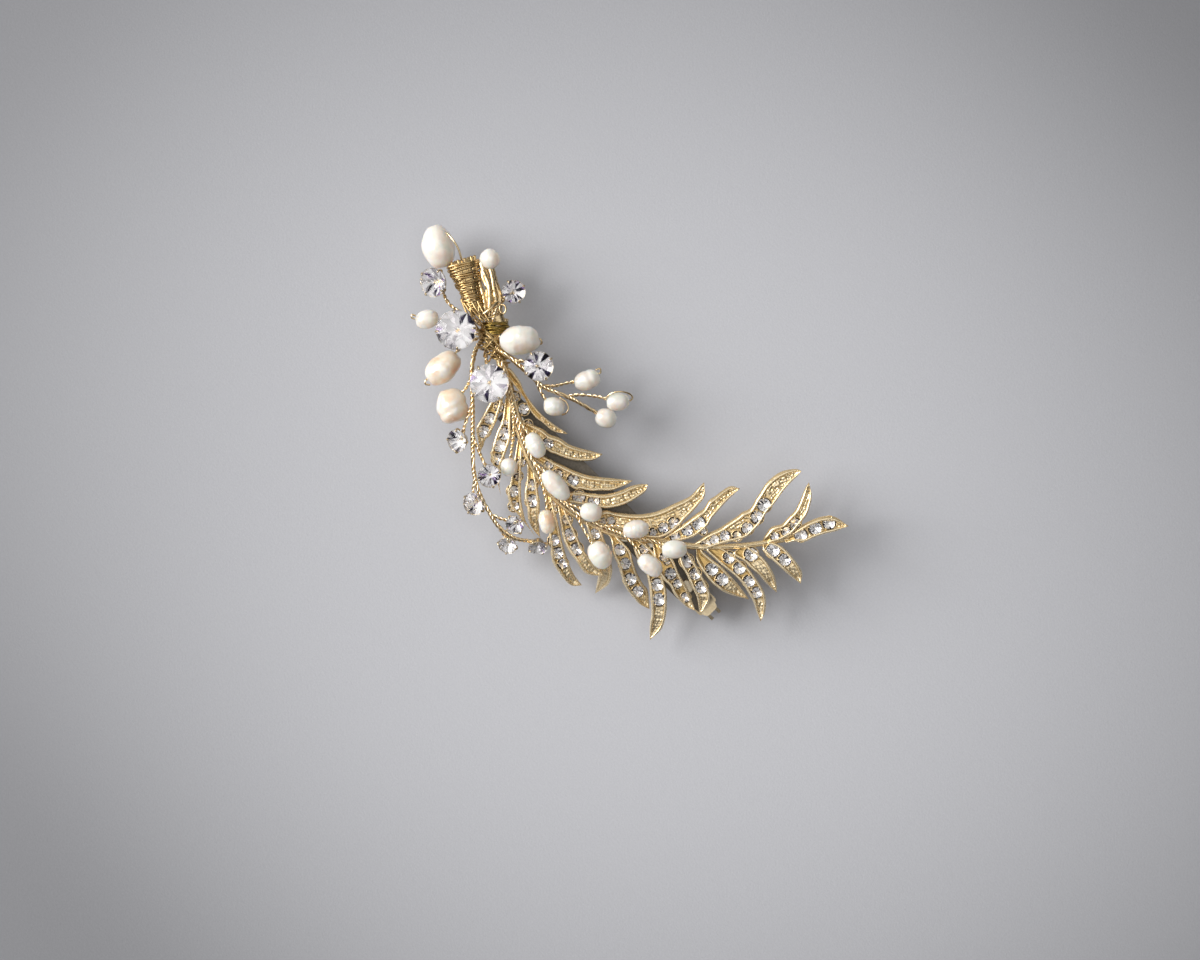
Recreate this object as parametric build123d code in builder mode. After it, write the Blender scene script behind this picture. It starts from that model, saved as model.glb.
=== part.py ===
from build123d import *
import math
import os

os.makedirs("parts", exist_ok=True)

# Bridal hair barrette: a cast, stone-set leaf frond with pearls and crystals on
# twisted wires, soldered and bound onto a spring hair clip.
# Millimetres. +X runs along the hair clip towards its latch, +Z points away from
# the hair, and Z = 0 is the underside that rests on the table.

# ---------------------------------------------------------------- hair clip
CLIP_Y = -4.7            # centre line of the clip
CLIP_W = 5.6             # width of the base strip
BASE_T = 0.8             # sheet thickness of the base strip
BASE_X0, BASE_X1 = -13.2, 38.6
BASE_END_W = 2.6         # width of the base strip at its latch end
BASE_Z_END = 5.6         # underside of the base strip at its flat ends
BASE_RISE = 0.9          # crown of the base strip at mid length
FLAT_X0, FLAT_X1 = -8.0, 31.0
PIN_X, PIN_Z = -11.0, 3.0
PIN_R = 0.6
BORE_R = 0.66            # running bore of the knuckles and of the spring's eye
EAR_W = 0.55             # thickness of the hinge ears
ARM_W = 5.6
ARM_HINGE_W = 4.2        # over the knuckles, between the ears
NOSE_W = 4.2             # over the nose
NOSE_WINDOW = 2.8
ARM_T = 0.9
RAIL_W = 1.1
SPRING_W = 2.2
EYE_GAP = 2.6            # between the knuckles
SPRING_T = 0.4
EAR_T = 0.6
EAR_GAP = 1.2            # between the two latch prongs
RIVET_X = 32.2

# ---------------------------------------------------------------- frond
LEAF_T = 1.1             # blade thickness over its rims
CHANNEL_D = 0.45         # depth of the recess between the rims
RIM_W = 0.36
SEAT_D = 0.25            # depth of a stone's drilled seat
RIB_Z0, RIB_Z1 = 7.75, 9.2

# ---------------------------------------------------------------- wires
WIRE_R = 0.36            # a twisted pair of 0.4 mm wire
TRUNK_R = 0.5

# Leaves of the frond in plan: root on the spine, tip, height of the underside at
# both, the two edges from root to tip, and the stones as (x, y, radius).
LEAVES = {
    "u1": dict(root=(-17.91, -0.47), tip=(-2.25, -0.47), z=(7.90, 7.40),
        a=[(-17.91, 0.54), (-15.00, 0.16), (-13.23, -0.60), (-11.34, -0.98), (-9.07, -1.23), (-7.30, -1.23), (-5.28, -0.98), (-3.39, -0.60)],
        b=[(-12.35, -1.48), (-10.71, -2.12), (-8.56, -2.49), (-6.79, -2.24), (-4.90, -2.12), (-3.64, -1.61)],
        stones=[(-13.68, -2.43, 0.71), (-10.94, -2.97, 0.83), (-9.45, -5.15, 0.42), (-8.56, -4.26, 0.58)]),
    "u2": dict(root=(-10.08, -5.27), tip=(4.70, 1.42), z=(7.90, 7.60),
        a=[(-6.42, -3.13), (-4.46, -2.81), (-2.75, -1.99), (-0.86, -1.61), (1.03, -0.73), (2.93, 0.41)],
        b=[(-2.88, -5.15), (-1.36, -4.64), (0.40, -3.88), (1.99, -2.95), (3.69, -1.36), (4.44, -0.10)],
        stones=[(-3.64, -4.14, 0.83)]),
    "u3": dict(root=(-5.03, -7.80), tip=(11.83, 1.86), z=(8.00, 7.80),
        a=[(-2.75, -6.28), (-0.61, -5.65), (1.41, -4.89), (3.43, -4.14), (5.45, -3.13), (7.22, -1.86), (8.74, -0.60), (10.00, 0.41)],
        b=[(4.82, -6.79), (6.21, -5.90), (7.98, -4.64), (8.95, -3.59), (10.34, -2.20), (11.01, -0.85), (11.58, 0.60)],
        stones=[(-0.73, -6.79, 0.66), (1.54, -6.79, 0.75), (4.19, -5.65, 0.91)]),
    "u4": dict(root=(4.57, -9.82), tip=(14.17, 3.31), z=(8.00, 7.90),
        a=[(5.96, -6.66), (7.98, -5.15), (10.00, -3.38), (11.39, -1.23), (12.27, 0.92), (13.16, 2.30)],
        b=[(11.07, -5.71), (12.52, -4.39), (13.66, -2.49), (14.29, -0.85), (14.67, 0.79), (14.80, 2.18)],
        stones=[(7.09, -7.04, 1.00), (9.46, -5.61, 0.91)]),
    "u5": dict(root=(11.39, -8.55), tip=(20.98, 10.64), z=(8.00, 9.40),
        a=[(11.89, -5.53), (13.54, -4.39), (15.81, -2.62), (17.20, -1.23), (18.46, 0.54), (19.34, 2.43), (19.85, 3.95), (20.35, 5.21), (20.98, 7.10), (20.98, 9.12)],
        b=[(15.18, -6.79), (18.21, -5.27), (21.62, -2.87), (22.88, -1.10), (23.38, 1.17), (23.26, 3.31), (23.26, 5.33), (23.13, 7.23), (22.75, 9.12)],
        stones=[(13.41, -7.04, 0.57), (14.17, -6.03, 0.65), (20.86, -2.12, 0.58), (21.68, -0.28, 0.83), (22.37, 1.67, 0.91)]),
    "u6": dict(root=(23.38, -1.61), tip=(26.35, 14.36), z=(8.10, 9.40),
        a=[(23.13, 0.41), (23.64, 3.19), (24.02, 5.84), (24.27, 7.36), (23.89, 9.00), (24.14, 10.26), (24.39, 12.03), (24.90, 13.54)],
        b=[(25.40, 0.16), (26.67, 2.68), (26.92, 5.46), (26.54, 6.85), (26.41, 8.49), (26.29, 10.38), (26.29, 12.15)],
        stones=[(24.22, 0.08, 0.75), (24.94, 2.54, 0.91), (25.49, 4.79, 1.07), (27.05, 4.32, 0.49)]),
    "u7": dict(root=(27.93, 1.42), tip=(31.84, 24.27), z=(8.10, 10.40),
        a=[(27.68, 2.94), (27.93, 4.70), (28.69, 6.72), (29.07, 8.62), (29.45, 10.51), (29.57, 11.65), (30.08, 13.16), (29.57, 15.18), (29.32, 16.45), (28.94, 18.09), (28.94, 19.60), (29.19, 21.12), (29.82, 22.51), (30.96, 23.90)],
        b=[(29.70, 2.43), (31.34, 5.59), (33.11, 8.62), (33.36, 10.64), (33.23, 12.53), (32.73, 14.55), (32.60, 16.45), (32.35, 17.96), (32.10, 19.48), (31.97, 21.12), (31.97, 23.14)],
        stones=[(29.03, 3.02, 0.83), (29.70, 4.70, 0.75), (30.45, 6.47, 0.83), (31.97, 7.99, 0.75), (32.29, 10.20, 0.91), (32.10, 12.81, 1.00), (31.46, 15.31, 1.08)]),
    "u8": dict(root=(36.14, 10.89), tip=(34.18, 23.83), z=(8.30, 9.90),
        a=[(35.38, 11.65), (35.13, 13.42), (36.01, 15.06), (36.01, 16.57), (36.01, 18.34), (35.63, 19.73), (35.13, 20.99), (34.49, 22.63)],
        b=[(37.91, 12.91), (38.54, 15.31), (38.28, 18.09), (38.03, 19.60), (37.27, 21.12), (36.20, 22.57)],
        stones=[(36.84, 12.71, 0.66), (37.53, 14.80, 0.75), (37.65, 16.95, 0.83)]),
    "u9": dict(root=(38.54, 13.54), tip=(44.80, 23.34), z=(8.40, 9.40),
        a=[(38.41, 14.93), (38.66, 17.20), (39.17, 18.97), (39.67, 20.23), (40.43, 21.50), (41.44, 22.51), (42.70, 23.01)],
        b=[(39.29, 13.54), (39.86, 14.49), (41.26, 15.87), (41.82, 17.33), (42.70, 19.22), (43.84, 21.12)],
        stones=[(39.92, 16.19, 1.00), (40.76, 18.80, 1.00), (41.95, 21.24, 1.00)]),
    "d1": dict(root=(36.39, 10.64), tip=(46.11, 10.01), z=(8.10, 7.90),
        a=[(38.16, 12.15), (39.92, 12.41), (41.82, 12.28), (43.59, 12.03), (45.04, 11.46)],
        b=[(37.15, 9.38), (39.17, 9.38), (41.31, 9.50), (43.46, 9.63)],
        stones=[(38.41, 10.64, 1.08), (41.00, 10.95, 1.00)]),
    "d2": dict(root=(33.86, 7.36), tip=(44.22, 5.84), z=(8.00, 7.60),
        a=[(36.64, 8.37), (38.54, 8.49), (40.05, 8.24), (41.95, 7.61), (43.33, 6.72)],
        b=[(33.74, 5.21), (36.01, 5.71), (37.78, 5.71), (39.67, 5.84), (41.57, 5.71)],
        stones=[(36.07, 7.42, 1.08)]),
    "d3": dict(root=(30.45, 3.69), tip=(45.86, 0.16), z=(8.00, 7.00),
        a=[(33.23, 4.96), (37.15, 5.33), (39.42, 5.08), (41.31, 4.70), (42.83, 4.20), (44.28, 3.12), (45.35, 1.67)],
        b=[(29.82, 2.30), (31.59, 2.30), (33.99, 2.43), (36.26, 2.68), (38.54, 2.68), (40.43, 2.30), (42.20, 1.80), (44.09, 0.92)],
        stones=[(33.67, 4.26, 0.91), (36.33, 4.26, 0.95), (39.17, 3.82, 0.91), (41.62, 3.29, 0.91)]),
    "d4": dict(root=(28.31, 1.80), tip=(41.69, 1.55), z=(7.80, 6.20),
        a=[(29.57, 1.80), (31.97, 1.93), (33.74, 2.18), (36.01, 2.18), (38.41, 2.05)],
        b=[(30.20, -0.35), (33.99, -1.10), (35.82, -1.04), (37.40, -0.73), (39.48, 0.22)],
        stones=[(33.01, 0.51, 1.00), (35.63, 0.54, 1.00)]),
    "d5": dict(root=(25.78, -0.22), tip=(37.27, -6.66), z=(7.95, 7.40),
        a=[(29.70, -0.60), (31.84, -1.23), (33.99, -1.86), (35.76, -2.62), (36.89, -4.01)],
        b=[(28.18, -2.62), (30.33, -3.25), (32.73, -4.14), (34.75, -4.89)],
        stones=[(28.77, -1.52, 1.08), (31.41, -2.06, 0.91), (33.86, -3.00, 1.00)]),
    "d6": dict(root=(22.50, -3.25), tip=(36.26, -6.66), z=(7.80, 6.80),
        a=[(26.54, -3.00), (29.70, -4.14), (32.60, -5.02)],
        b=[(25.02, -5.78), (27.80, -6.79), (29.82, -6.79), (31.34, -7.29), (32.98, -7.42), (34.87, -7.29)],
        stones=[(25.40, -3.88, 0.62), (26.41, -4.14, 0.38), (28.43, -5.15, 0.91), (30.45, -5.65, 0.71), (33.24, -6.27, 0.75)]),
    "d7": dict(root=(19.34, -5.40), tip=(34.24, -16.26), z=(7.95, 5.60),
        a=[(23.00, -4.51), (26.04, -5.53), (28.43, -6.91), (30.01, -7.86), (31.59, -9.31), (32.92, -10.77), (33.99, -12.47), (34.37, -13.86)],
        b=[(21.74, -7.29), (24.77, -8.05), (26.41, -8.93), (28.18, -10.20), (29.57, -11.33), (31.04, -12.65), (32.35, -14.36)],
        stones=[(21.87, -5.40, 0.75), (27.99, -8.24, 1.00), (30.20, -9.94, 1.04)]),
    "d8": dict(root=(15.55, -7.67), tip=(30.33, -12.34), z=(8.00, 5.00),
        a=[(19.97, -7.29), (22.00, -8.30), (24.02, -9.31), (26.16, -9.94), (27.68, -10.20)],
        b=[(16.57, -8.43), (18.59, -9.94), (20.61, -10.70), (22.50, -11.71), (24.52, -12.60), (26.54, -12.85), (28.43, -12.97)],
        stones=[(18.96, -8.55, 0.91), (21.36, -9.69, 0.91), (23.96, -11.03, 1.00), (26.49, -11.64, 0.91)]),
    "d9": dict(root=(11.26, -8.93), tip=(21.49, -17.39), z=(8.15, 1.20),
        a=[(13.66, -8.30), (16.94, -9.82), (20.10, -11.71), (21.25, -12.96), (22.00, -14.62)],
        b=[(12.65, -10.32), (15.68, -11.84), (18.33, -13.23), (19.60, -14.74)],
        stones=[(13.85, -9.63, 0.87)]),
    "d10": dict(root=(5.71, -10.45), tip=(20.61, -13.73), z=(7.70, 6.00),
        a=[(12.15, -12.34), (13.54, -12.97), (15.43, -13.35), (17.57, -13.73), (19.60, -13.73)],
        b=[(10.25, -14.24), (13.03, -15.25), (14.80, -15.50), (16.69, -15.88), (18.21, -15.63)],
        stones=[(8.48, -11.46, 0.75), (10.76, -12.97, 1.00), (13.33, -13.93, 1.00)]),
    "d11": dict(root=(2.17, -10.20), tip=(18.71, -17.90), z=(7.70, 5.00),
        a=[(8.36, -13.35), (9.87, -14.36), (11.77, -15.50), (14.29, -16.76), (16.31, -17.52)],
        b=[(10.76, -17.77), (12.21, -18.72), (14.17, -19.16), (16.19, -19.41), (17.57, -19.16)],
        stones=[(4.57, -11.08, 0.42), (5.58, -11.84, 0.50), (9.44, -15.70, 0.91), (11.46, -16.81, 0.91), (13.48, -17.57, 0.83)]),
    "l4": dict(root=(-3.51, -8.81), tip=(7.35, -17.14), z=(7.80, 6.20),
        a=[(-0.42, -10.26), (1.03, -11.33), (2.87, -12.79), (4.25, -14.17), (5.71, -15.75)],
        b=[(-1.68, -11.52), (-0.66, -13.03), (0.48, -14.16), (1.92, -14.99), (3.43, -16.26), (5.14, -16.95)],
        stones=[(-0.35, -11.46, 0.83), (1.67, -13.48, 1.00)]),
    "l3": dict(root=(-7.55, -7.29), tip=(7.09, -17.65), z=(7.70, 5.60),
        a=[(-2.50, -12.09), (-0.35, -14.24), (1.79, -15.88), (3.75, -16.95)],
        b=[(-3.39, -13.98), (-2.94, -15.18), (-1.62, -16.26), (-0.10, -17.02), (1.41, -17.02)],
        stones=[(-4.71, -9.88, 0.66), (-3.26, -12.09, 0.66), (-2.00, -14.62, 0.91), (0.02, -16.38, 0.83)]),
    "l2": dict(root=(-14.37, -3.50), tip=(-2.94, -16.83), z=(7.80, 6.00),
        a=[(-10.20, -6.91), (-9.07, -8.05), (-7.87, -10.39), (-7.30, -11.71), (-6.67, -12.97), (-5.53, -14.11), (-4.58, -15.56)],
        b=[(-12.35, -7.04), (-11.59, -9.06), (-10.65, -10.89), (-9.82, -12.34), (-9.26, -13.04)],
        stones=[(-11.59, -7.04, 0.42), (-10.26, -8.48, 1.00), (-9.32, -10.57, 1.00), (-7.99, -12.53, 0.91)]),
    "l1": dict(root=(-16.39, -2.49), tip=(-11.15, -13.92), z=(7.80, 6.20),
        a=[(-13.68, -6.47), (-12.60, -8.81), (-12.10, -10.32), (-11.97, -11.71), (-11.47, -12.72)],
        b=[(-16.01, -6.66), (-15.51, -8.43), (-15.00, -10.20), (-14.62, -11.33), (-13.36, -12.34)],
        stones=[(-14.37, -5.78, 0.71), (-14.12, -8.30, 0.91), (-13.29, -10.75, 1.00)]),
}
MIDRIB = [(-25.10, 5.97), (-23.59, 3.95), (-21.57, 1.42), (-17.65, -0.98), (-13.61, -3.25), (-8.81, -6.03), (-3.76, -8.55), (1.29, -9.82), (5.33, -10.07), (9.75, -9.44), (13.66, -8.30), (17.07, -6.66), (20.10, -4.64), (22.88, -2.37), (27.30, 0.79), (31.21, 4.45), (34.75, 8.49), (37.40, 12.15), (39.04, 14.30)]

# Pearls: centre, long axis, length, diameter. Crystals: girdle centre, radius,
# lean in degrees and the plan heading it leans towards. Wires: radius and route.
PEARLS = {
    "pearls_cluster": [
        ((-42.403, 6.85, 8.4), (0.865, -0.501, 0.0), 7.9, 5.9),
        ((-26.367, -7.924, 8.8), (0.049, 0.999, 0.0), 7.1, 5.1),
        ((-20.432, -11.586, 8.6), (0.894, -0.447, 0.0), 6.4, 6.0),
        ((-20.116, 5.271, 11.6), (0.654, 0.757, 0.0), 7.2, 5.2),
    ],
    "pearls_small": [
        ((-34.195, 11.774, 9.6), (1.0, 0.0, 0.0), 3.75, 3.6),
        ((-34.574, -3.757, 8.4), (0.514, 0.857, 0.0), 4.3, 3.4),
    ],
    "pearls_spray": [
        ((-6.669, 8.744, 10.0), (0.477, 0.879, 0.0), 4.8, 3.7),
        ((0.024, 9.88, 10.5), (0.646, 0.763, 0.0), 4.3, 3.2),
        ((0.529, 6.345, 8.9), (0.88, 0.474, 0.0), 3.9, 3.5),
        ((-7.426, 1.168, 10.6), (0.804, 0.594, 0.0), 3.9, 3.5),
    ],
    "pearls_frond": [
        ((-4.964, -5.967, 11.9), (0.968, -0.249, 0.0), 5.0, 3.2),
        ((-5.469, -12.028, 11.1), (0.809, -0.588, 0.0), 3.3, 3.1),
        ((2.675, -8.429, 12.1), (0.998, -0.064, 0.0), 6.6, 3.4),
        ((6.211, -14.237, 11.3), (0.786, -0.618, 0.0), 4.5, 3.0),
        ((10.504, -7.419, 11.9), (0.818, 0.575, 0.0), 4.1, 3.4),
        ((18.333, -3.883, 12.0), (0.625, 0.781, 0.0), 4.8, 3.2),
        ((25.656, -1.61, 11.8), (0.651, 0.759, 0.0), 4.6, 3.4),
        ((17.07, -11.712, 11.6), (0.972, -0.236, 0.0), 5.1, 4.1),
        ((24.646, -6.661, 11.4), (0.991, 0.134, 0.0), 5.0, 3.4),
    ],
}
CRYSTALS = {
    "crystals_large": [
        (-29.271, -1.484, 13.0, 3.5, 4, -135.0),
        (-18.412, -4.009, 13.2, 3.4, 3, -45.0),
    ],
    "crystals_medium": [
        (-38.299, 1.61, 10.8, 2.6, 30, -118.3),
        (-14.371, 4.324, 13.1, 2.6, 6, 45.0),
    ],
    "crystals_small": [
        (-26.998, 10.638, 10.0, 2.05, 8, 45.0),
        (-15.381, -15.374, 9.6, 2.05, 38, -118.3),
        (-6.795, -15.626, 12.7, 2.05, 12, -90.0),
        (-5.28, -21.182, 9.0, 2.05, 28, -104.0),
        (2.549, -18.657, 11.0, 1.7, 30, -90.0),
        (4.191, -22.319, 7.6, 1.7, 40, -71.6),
        (8.358, -18.657, 8.2, 1.7, 52, -45.0),
    ],
}
WIRES = {
    "pearl_loop_wire": [
        (0.3, [(-35.584, 8.112, 9.0), (-37.226, 7.986, 10.0), (-39.246, 8.996, 10.6), (-41.266, 9.501, 10.6), (-43.034, 9.501, 9.6), (-43.413, 8.365, 8.6)]),
    ],
    "stem_strands": [
        (0.42, [(-34.574, 10.133, 9.2), (-32.554, 8.618, 9.6), (-30.028, 7.607, 9.8), (-27.756, 5.84, 9.6), (-25.862, 4.198, 9.3)]),
        (0.42, [(-33.817, 11.395, 9.4), (-30.66, 9.501, 9.4), (-28.008, 8.112, 9.2), (-26.114, 5.966, 9.1), (-25.104, 4.451, 9.0)]),
        (0.42, [(-34.069, 8.112, 8.0), (-30.028, 6.092, 7.9), (-27.756, 4.829, 8.0), (-25.988, 3.567, 8.2)]),
    ],
    "cluster_wires": [
        (0.36, [(-37.795, 2.547, 8.957), (-34.7, 1.168, 8.9), (-32.554, 1.041, 9.2), (-29.776, 1.799, 9.2), (-26.24, 2.304, 9.6)]),
        (0.36, [(-27.165, 10.471, 8.318), (-27.251, 8.112, 9.2), (-26.745, 5.84, 10.4), (-25.483, 3.567, 10.6)]),
        (0.36, [(-34.574, -3.757, 8.4), (-31.796, -2.747, 8.2), (-29.018, -0.474, 8.3), (-25.862, 1.925, 9.0)]),
        (0.36, [(-29.131, -1.344, 10.177), (-28.134, -0.853, 9.4), (-26.745, 0.284, 9.3), (-25.23, 1.546, 9.8)]),
        (0.36, [(-26.367, -7.924, 8.8), (-26.745, -4.262, 8.0), (-26.493, -1.484, 8.0), (-25.104, 1.42, 8.6)]),
        (0.36, [(-20.116, 5.271, 11.6), (-22.073, 3.946, 11.2), (-23.968, 2.557, 10.4)]),
        (0.36, [(-18.514, -3.907, 10.452), (-20.179, -2.747, 9.7), (-22.705, -0.726, 9.9), (-24.22, 1.294, 10.4)]),
    ],
    "garland_wires": [
        (0.42, [(-25.23, 1.294, 8.2), (-24.346, -1.863, 9.0), (-22.2, -4.767, 9.6), (-19.611, -7.229, 10.2), (-17.023, -9.692, 10.3), (-14.497, -12.217, 10.2), (-11.972, -14.742, 9.9), (-9.32, -17.141, 9.6), (-6.163, -19.036, 9.6), (-2.754, -20.172, 9.4), (0.781, -20.93, 9.1), (4.064, -20.424, 8.6), (6.211, -19.036, 7.8), (7.563, -17.862, 7.322)]),
        (0.36, [(-21.695, -5.272, 9.7), (-20.937, -7.545, 9.4), (-20.811, -9.692, 9.0), (-20.432, -11.586, 8.6)]),
        (0.36, [(-18.096, -8.745, 10.25), (-17.149, -10.828, 9.8), (-16.139, -12.848, 9.0), (-14.885, -14.453, 8.261)]),
        (0.36, [(-13.992, -12.722, 10.15), (-11.846, -13.606, 10.2), (-9.32, -14.616, 10.4), (-6.795, -15.273, 11.038)]),
        (0.36, [(-8.184, -18.025, 9.6), (-6.921, -19.793, 8.6), (-5.087, -20.408, 7.5)]),
        (0.36, [(-1.997, -20.424, 9.3), (0.15, -19.541, 9.3), (2.549, -17.944, 9.765)]),
        (0.36, [(0.15, -20.803, 9.1), (2.17, -21.308, 8.0), (3.902, -21.449, 6.508)]),
    ],
    "frond_wires": [
        (0.5, [(-23.841, 1.673, 9.4), (-20.811, 0.663, 10.0), (-17.401, -0.979, 10.2), (-13.613, -3.252, 10.3), (-8.815, -6.03, 10.3), (-4.269, -8.05, 10.3), (0.908, -9.439, 10.3), (5.58, -9.818, 10.3), (10.378, -9.06, 10.3), (14.797, -7.419, 10.3), (18.838, -5.398, 10.3), (21.868, -3.378, 10.4), (24.52, -1.989, 11.0), (25.656, -1.61, 11.8)]),
        (0.36, [(-12.982, -3.631, 10.3), (-9.573, -6.787, 10.6), (-7.3, -9.565, 11.0), (-5.469, -12.028, 11.4)]),
        (0.36, [(-11.088, -4.767, 10.3), (-8.058, -5.272, 11.2), (-4.964, -5.967, 11.9)]),
        (0.36, [(-3.512, -8.303, 10.3), (-0.86, -8.176, 11.2), (2.675, -8.429, 12.1)]),
        (0.36, [(-1.492, -8.808, 10.3), (1.792, -10.575, 10.8), (4.191, -12.217, 11.0), (6.211, -14.237, 11.3)]),
        (0.36, [(5.075, -9.818, 10.3), (7.221, -8.934, 11.0), (10.504, -7.419, 11.9)]),
        (0.36, [(8.484, -9.439, 10.3), (11.514, -10.449, 10.7), (14.545, -11.207, 11.1), (17.07, -11.712, 11.6)]),
        (0.36, [(13.408, -8.05, 10.3), (15.429, -6.03, 11.1), (18.333, -3.883, 12.0)]),
        (0.36, [(16.818, -6.409, 10.3), (19.848, -6.156, 10.6), (22.247, -6.535, 10.9), (24.646, -6.661, 11.4)]),
    ],
    "spray_wires": [
        (0.45, [(-23.336, 1.673, 9.8), (-21.316, 1.42, 10.6), (-18.917, 1.799, 10.7), (-16.139, 2.052, 10.6), (-13.487, 2.178, 10.6), (-10.962, 2.43, 10.5), (-8.31, 3.567, 10.4), (-5.785, 4.577, 10.2), (-2.628, 5.461, 9.6), (0.529, 6.345, 8.9)]),
        (0.36, [(-11.593, 2.304, 10.5), (-9.952, 3.946, 10.4), (-8.689, 5.966, 10.3), (-6.669, 8.744, 10.0)]),
        (0.36, [(-7.237, 4.009, 10.3), (-5.658, 5.966, 10.2), (-3.133, 7.986, 10.3), (0.024, 9.88, 10.5)]),
        (0.36, [(-12.982, 2.178, 10.6), (-10.962, 1.42, 10.6), (-9.32, 1.041, 10.6), (-7.426, 1.168, 10.6)]),
        (0.36, [(-18.285, 1.925, 10.7), (-16.644, 3.314, 10.6), (-14.528, 4.167, 10.984)]),
    ],
}
TAIL = [(-37.352, 7.86), (-29.334, 3.504)]
TAIL_Z = 9.0
BINDINGS = {
    "dark_binding": (-24.851, 3.693, 8.9, -45.0, 6, 0.42, 2.45, 1.45),
    "gold_binding": (-23.968, 1.546, 9.4, -56.3, 7, 0.34, 2.0, 1.0),
}
SOLDER = [(-10.2, -5.2, 6.35), (17.6, -5.95, 7.15), (21.6, -3.6, 7.0)]


def on_plane(plane, x, y):
    """Local coordinates on a tilted plane of the point above plan position x, y."""
    o, n = plane.origin, plane.z_dir
    z = o.Z - (n.X * (x - o.X) + n.Y * (y - o.Y)) / n.Z
    d = Vector(x, y, z) - o
    return d.dot(plane.x_dir), d.dot(plane.y_dir)


def leaf_plane(root, tip, z):
    """Plane of a blade's underside, running from root to tip, level across."""
    d = Vector(tip[0] - root[0], tip[1] - root[1], z[1] - z[0])
    side = Vector(0, 0, 1).cross(d)
    return Plane(origin=(root[0], root[1], z[0]), x_dir=d, z_dir=d.cross(side))


def facing(x, y, z, tilt=0.0, toward=0.0):
    """Plane at x, y, z whose normal leans by tilt degrees towards a plan heading."""
    t, h = math.radians(tilt), math.radians(toward)
    n = Vector(math.sin(t) * math.cos(h), math.sin(t) * math.sin(h), math.cos(t))
    return Plane(origin=(x, y, z), x_dir=Vector(-math.sin(h), math.cos(h), 0), z_dir=n)


def station(edge, f):
    """Point at fraction f of the length of a polyline edge."""
    seg = [math.dist(edge[i], edge[i + 1]) for i in range(len(edge) - 1)]
    s = f * sum(seg)
    for i, q in enumerate(seg):
        if s <= q or i == len(seg) - 1:
            t = min(1.0, s / q)
            return (edge[i][0] + (edge[i + 1][0] - edge[i][0]) * t,
                    edge[i][1] + (edge[i + 1][1] - edge[i][1]) * t)
        s -= q


def blade(leaf):
    """One crescent blade: a plate with a recess between two rims and drilled seats."""
    root, tip = leaf["root"], leaf["tip"]
    plane = leaf_plane(root, tip, leaf["z"])
    dx, dy = tip[0] - root[0], tip[1] - root[1]
    n = math.hypot(dx, dy)
    px, py = -dy / n, dx / n
    sa = 1 if (leaf["a"][0][0] - root[0]) * px + (leaf["a"][0][1] - root[1]) * py > \
        (leaf["b"][0][0] - root[0]) * px + (leaf["b"][0][1] - root[1]) * py else -1
    ra = (root[0] + sa * px * 0.6, root[1] + sa * py * 0.6)
    rb = (root[0] - sa * px * 0.6, root[1] - sa * py * 0.6)
    edge_a = [ra] + leaf["a"] + [tip]
    edge_b = [rb] + leaf["b"] + [tip]
    steps = [i / 12 for i in range(13)]
    pa = [station(edge_a, f) for f in steps]
    pb = [station(edge_b, f) for f in steps]
    outline = pa + pb[-2::-1]
    with BuildSketch(plane) as plan:
        with BuildLine():
            Polyline(*[on_plane(plane, *p) for p in outline], close=True)
        make_face()
    extrude(plan.sketch, amount=LEAF_T)
    # the recess keeps a rim of RIM_W and stops short of the root and the tip
    ia, ib = [], []
    for a, b in list(zip(pa, pb))[2:12]:
        w = math.dist(a, b)
        if w < 2.6 * RIM_W:
            continue
        k = RIM_W / w
        ia.append((a[0] + (b[0] - a[0]) * k, a[1] + (b[1] - a[1]) * k))
        ib.append((b[0] + (a[0] - b[0]) * k, b[1] + (a[1] - b[1]) * k))
    top = plane.offset(LEAF_T)
    if len(ia) > 2:
        with BuildSketch(top) as recess:
            with BuildLine():
                Polyline(*[on_plane(top, *p) for p in ia + ib[::-1]], close=True)
            make_face()
        extrude(recess.sketch, amount=-CHANNEL_D, mode=Mode.SUBTRACT)


def seats(leaf):
    """Drill the round seats of one blade's stones."""
    plane = leaf_plane(leaf["root"], leaf["tip"], leaf["z"])
    floor = plane.offset(LEAF_T - CHANNEL_D - SEAT_D)
    with BuildSketch(floor) as bores:
        for x, y, r in leaf["stones"]:
            with Locations(on_plane(floor, x, y)):
                Circle(r)
    extrude(bores.sketch, amount=CHANNEL_D + SEAT_D + 0.6, mode=Mode.SUBTRACT)


def stone(leaf, x, y, r):
    """A brilliant-cut stone standing in its seat: girdle and stepped crown."""
    plane = leaf_plane(leaf["root"], leaf["tip"], leaf["z"])
    floor = plane.offset(LEAF_T - CHANNEL_D - SEAT_D)
    with BuildSketch(floor) as base:
        with Locations(on_plane(floor, x, y)):
            Circle(r)
    extrude(base.sketch, amount=0.5)
    with BuildSketch(floor.offset(0.5)) as girdle:
        with Locations(on_plane(floor, x, y)):
            Circle(r)
    extrude(girdle.sketch, amount=0.42 * min(1.0, r), taper=38)


def wire(points, r):
    """A round wire along straight runs joined by tangent arcs."""
    pts = [Vector(*p) for p in points]
    for i in range(len(pts) - 2, 0, -1):
        if (pts[i] - pts[i - 1]).get_angle(pts[i + 1] - pts[i]) < 3:
            del pts[i]
    radii = []
    for i in range(1, len(pts) - 1):
        u, v = pts[i] - pts[i - 1], pts[i + 1] - pts[i]
        turn = math.radians(u.get_angle(v))
        radii.append(0.45 * min(u.length, v.length) / math.tan(turn / 2))
    with BuildLine() as path:
        if radii:
            FilletPolyline(*pts, radius=radii)
        else:
            Line(pts[0], pts[1])
    with BuildSketch(path.line ^ 0) as section:
        Circle(r)
    sweep(section.sketch, path=path.line)


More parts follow.
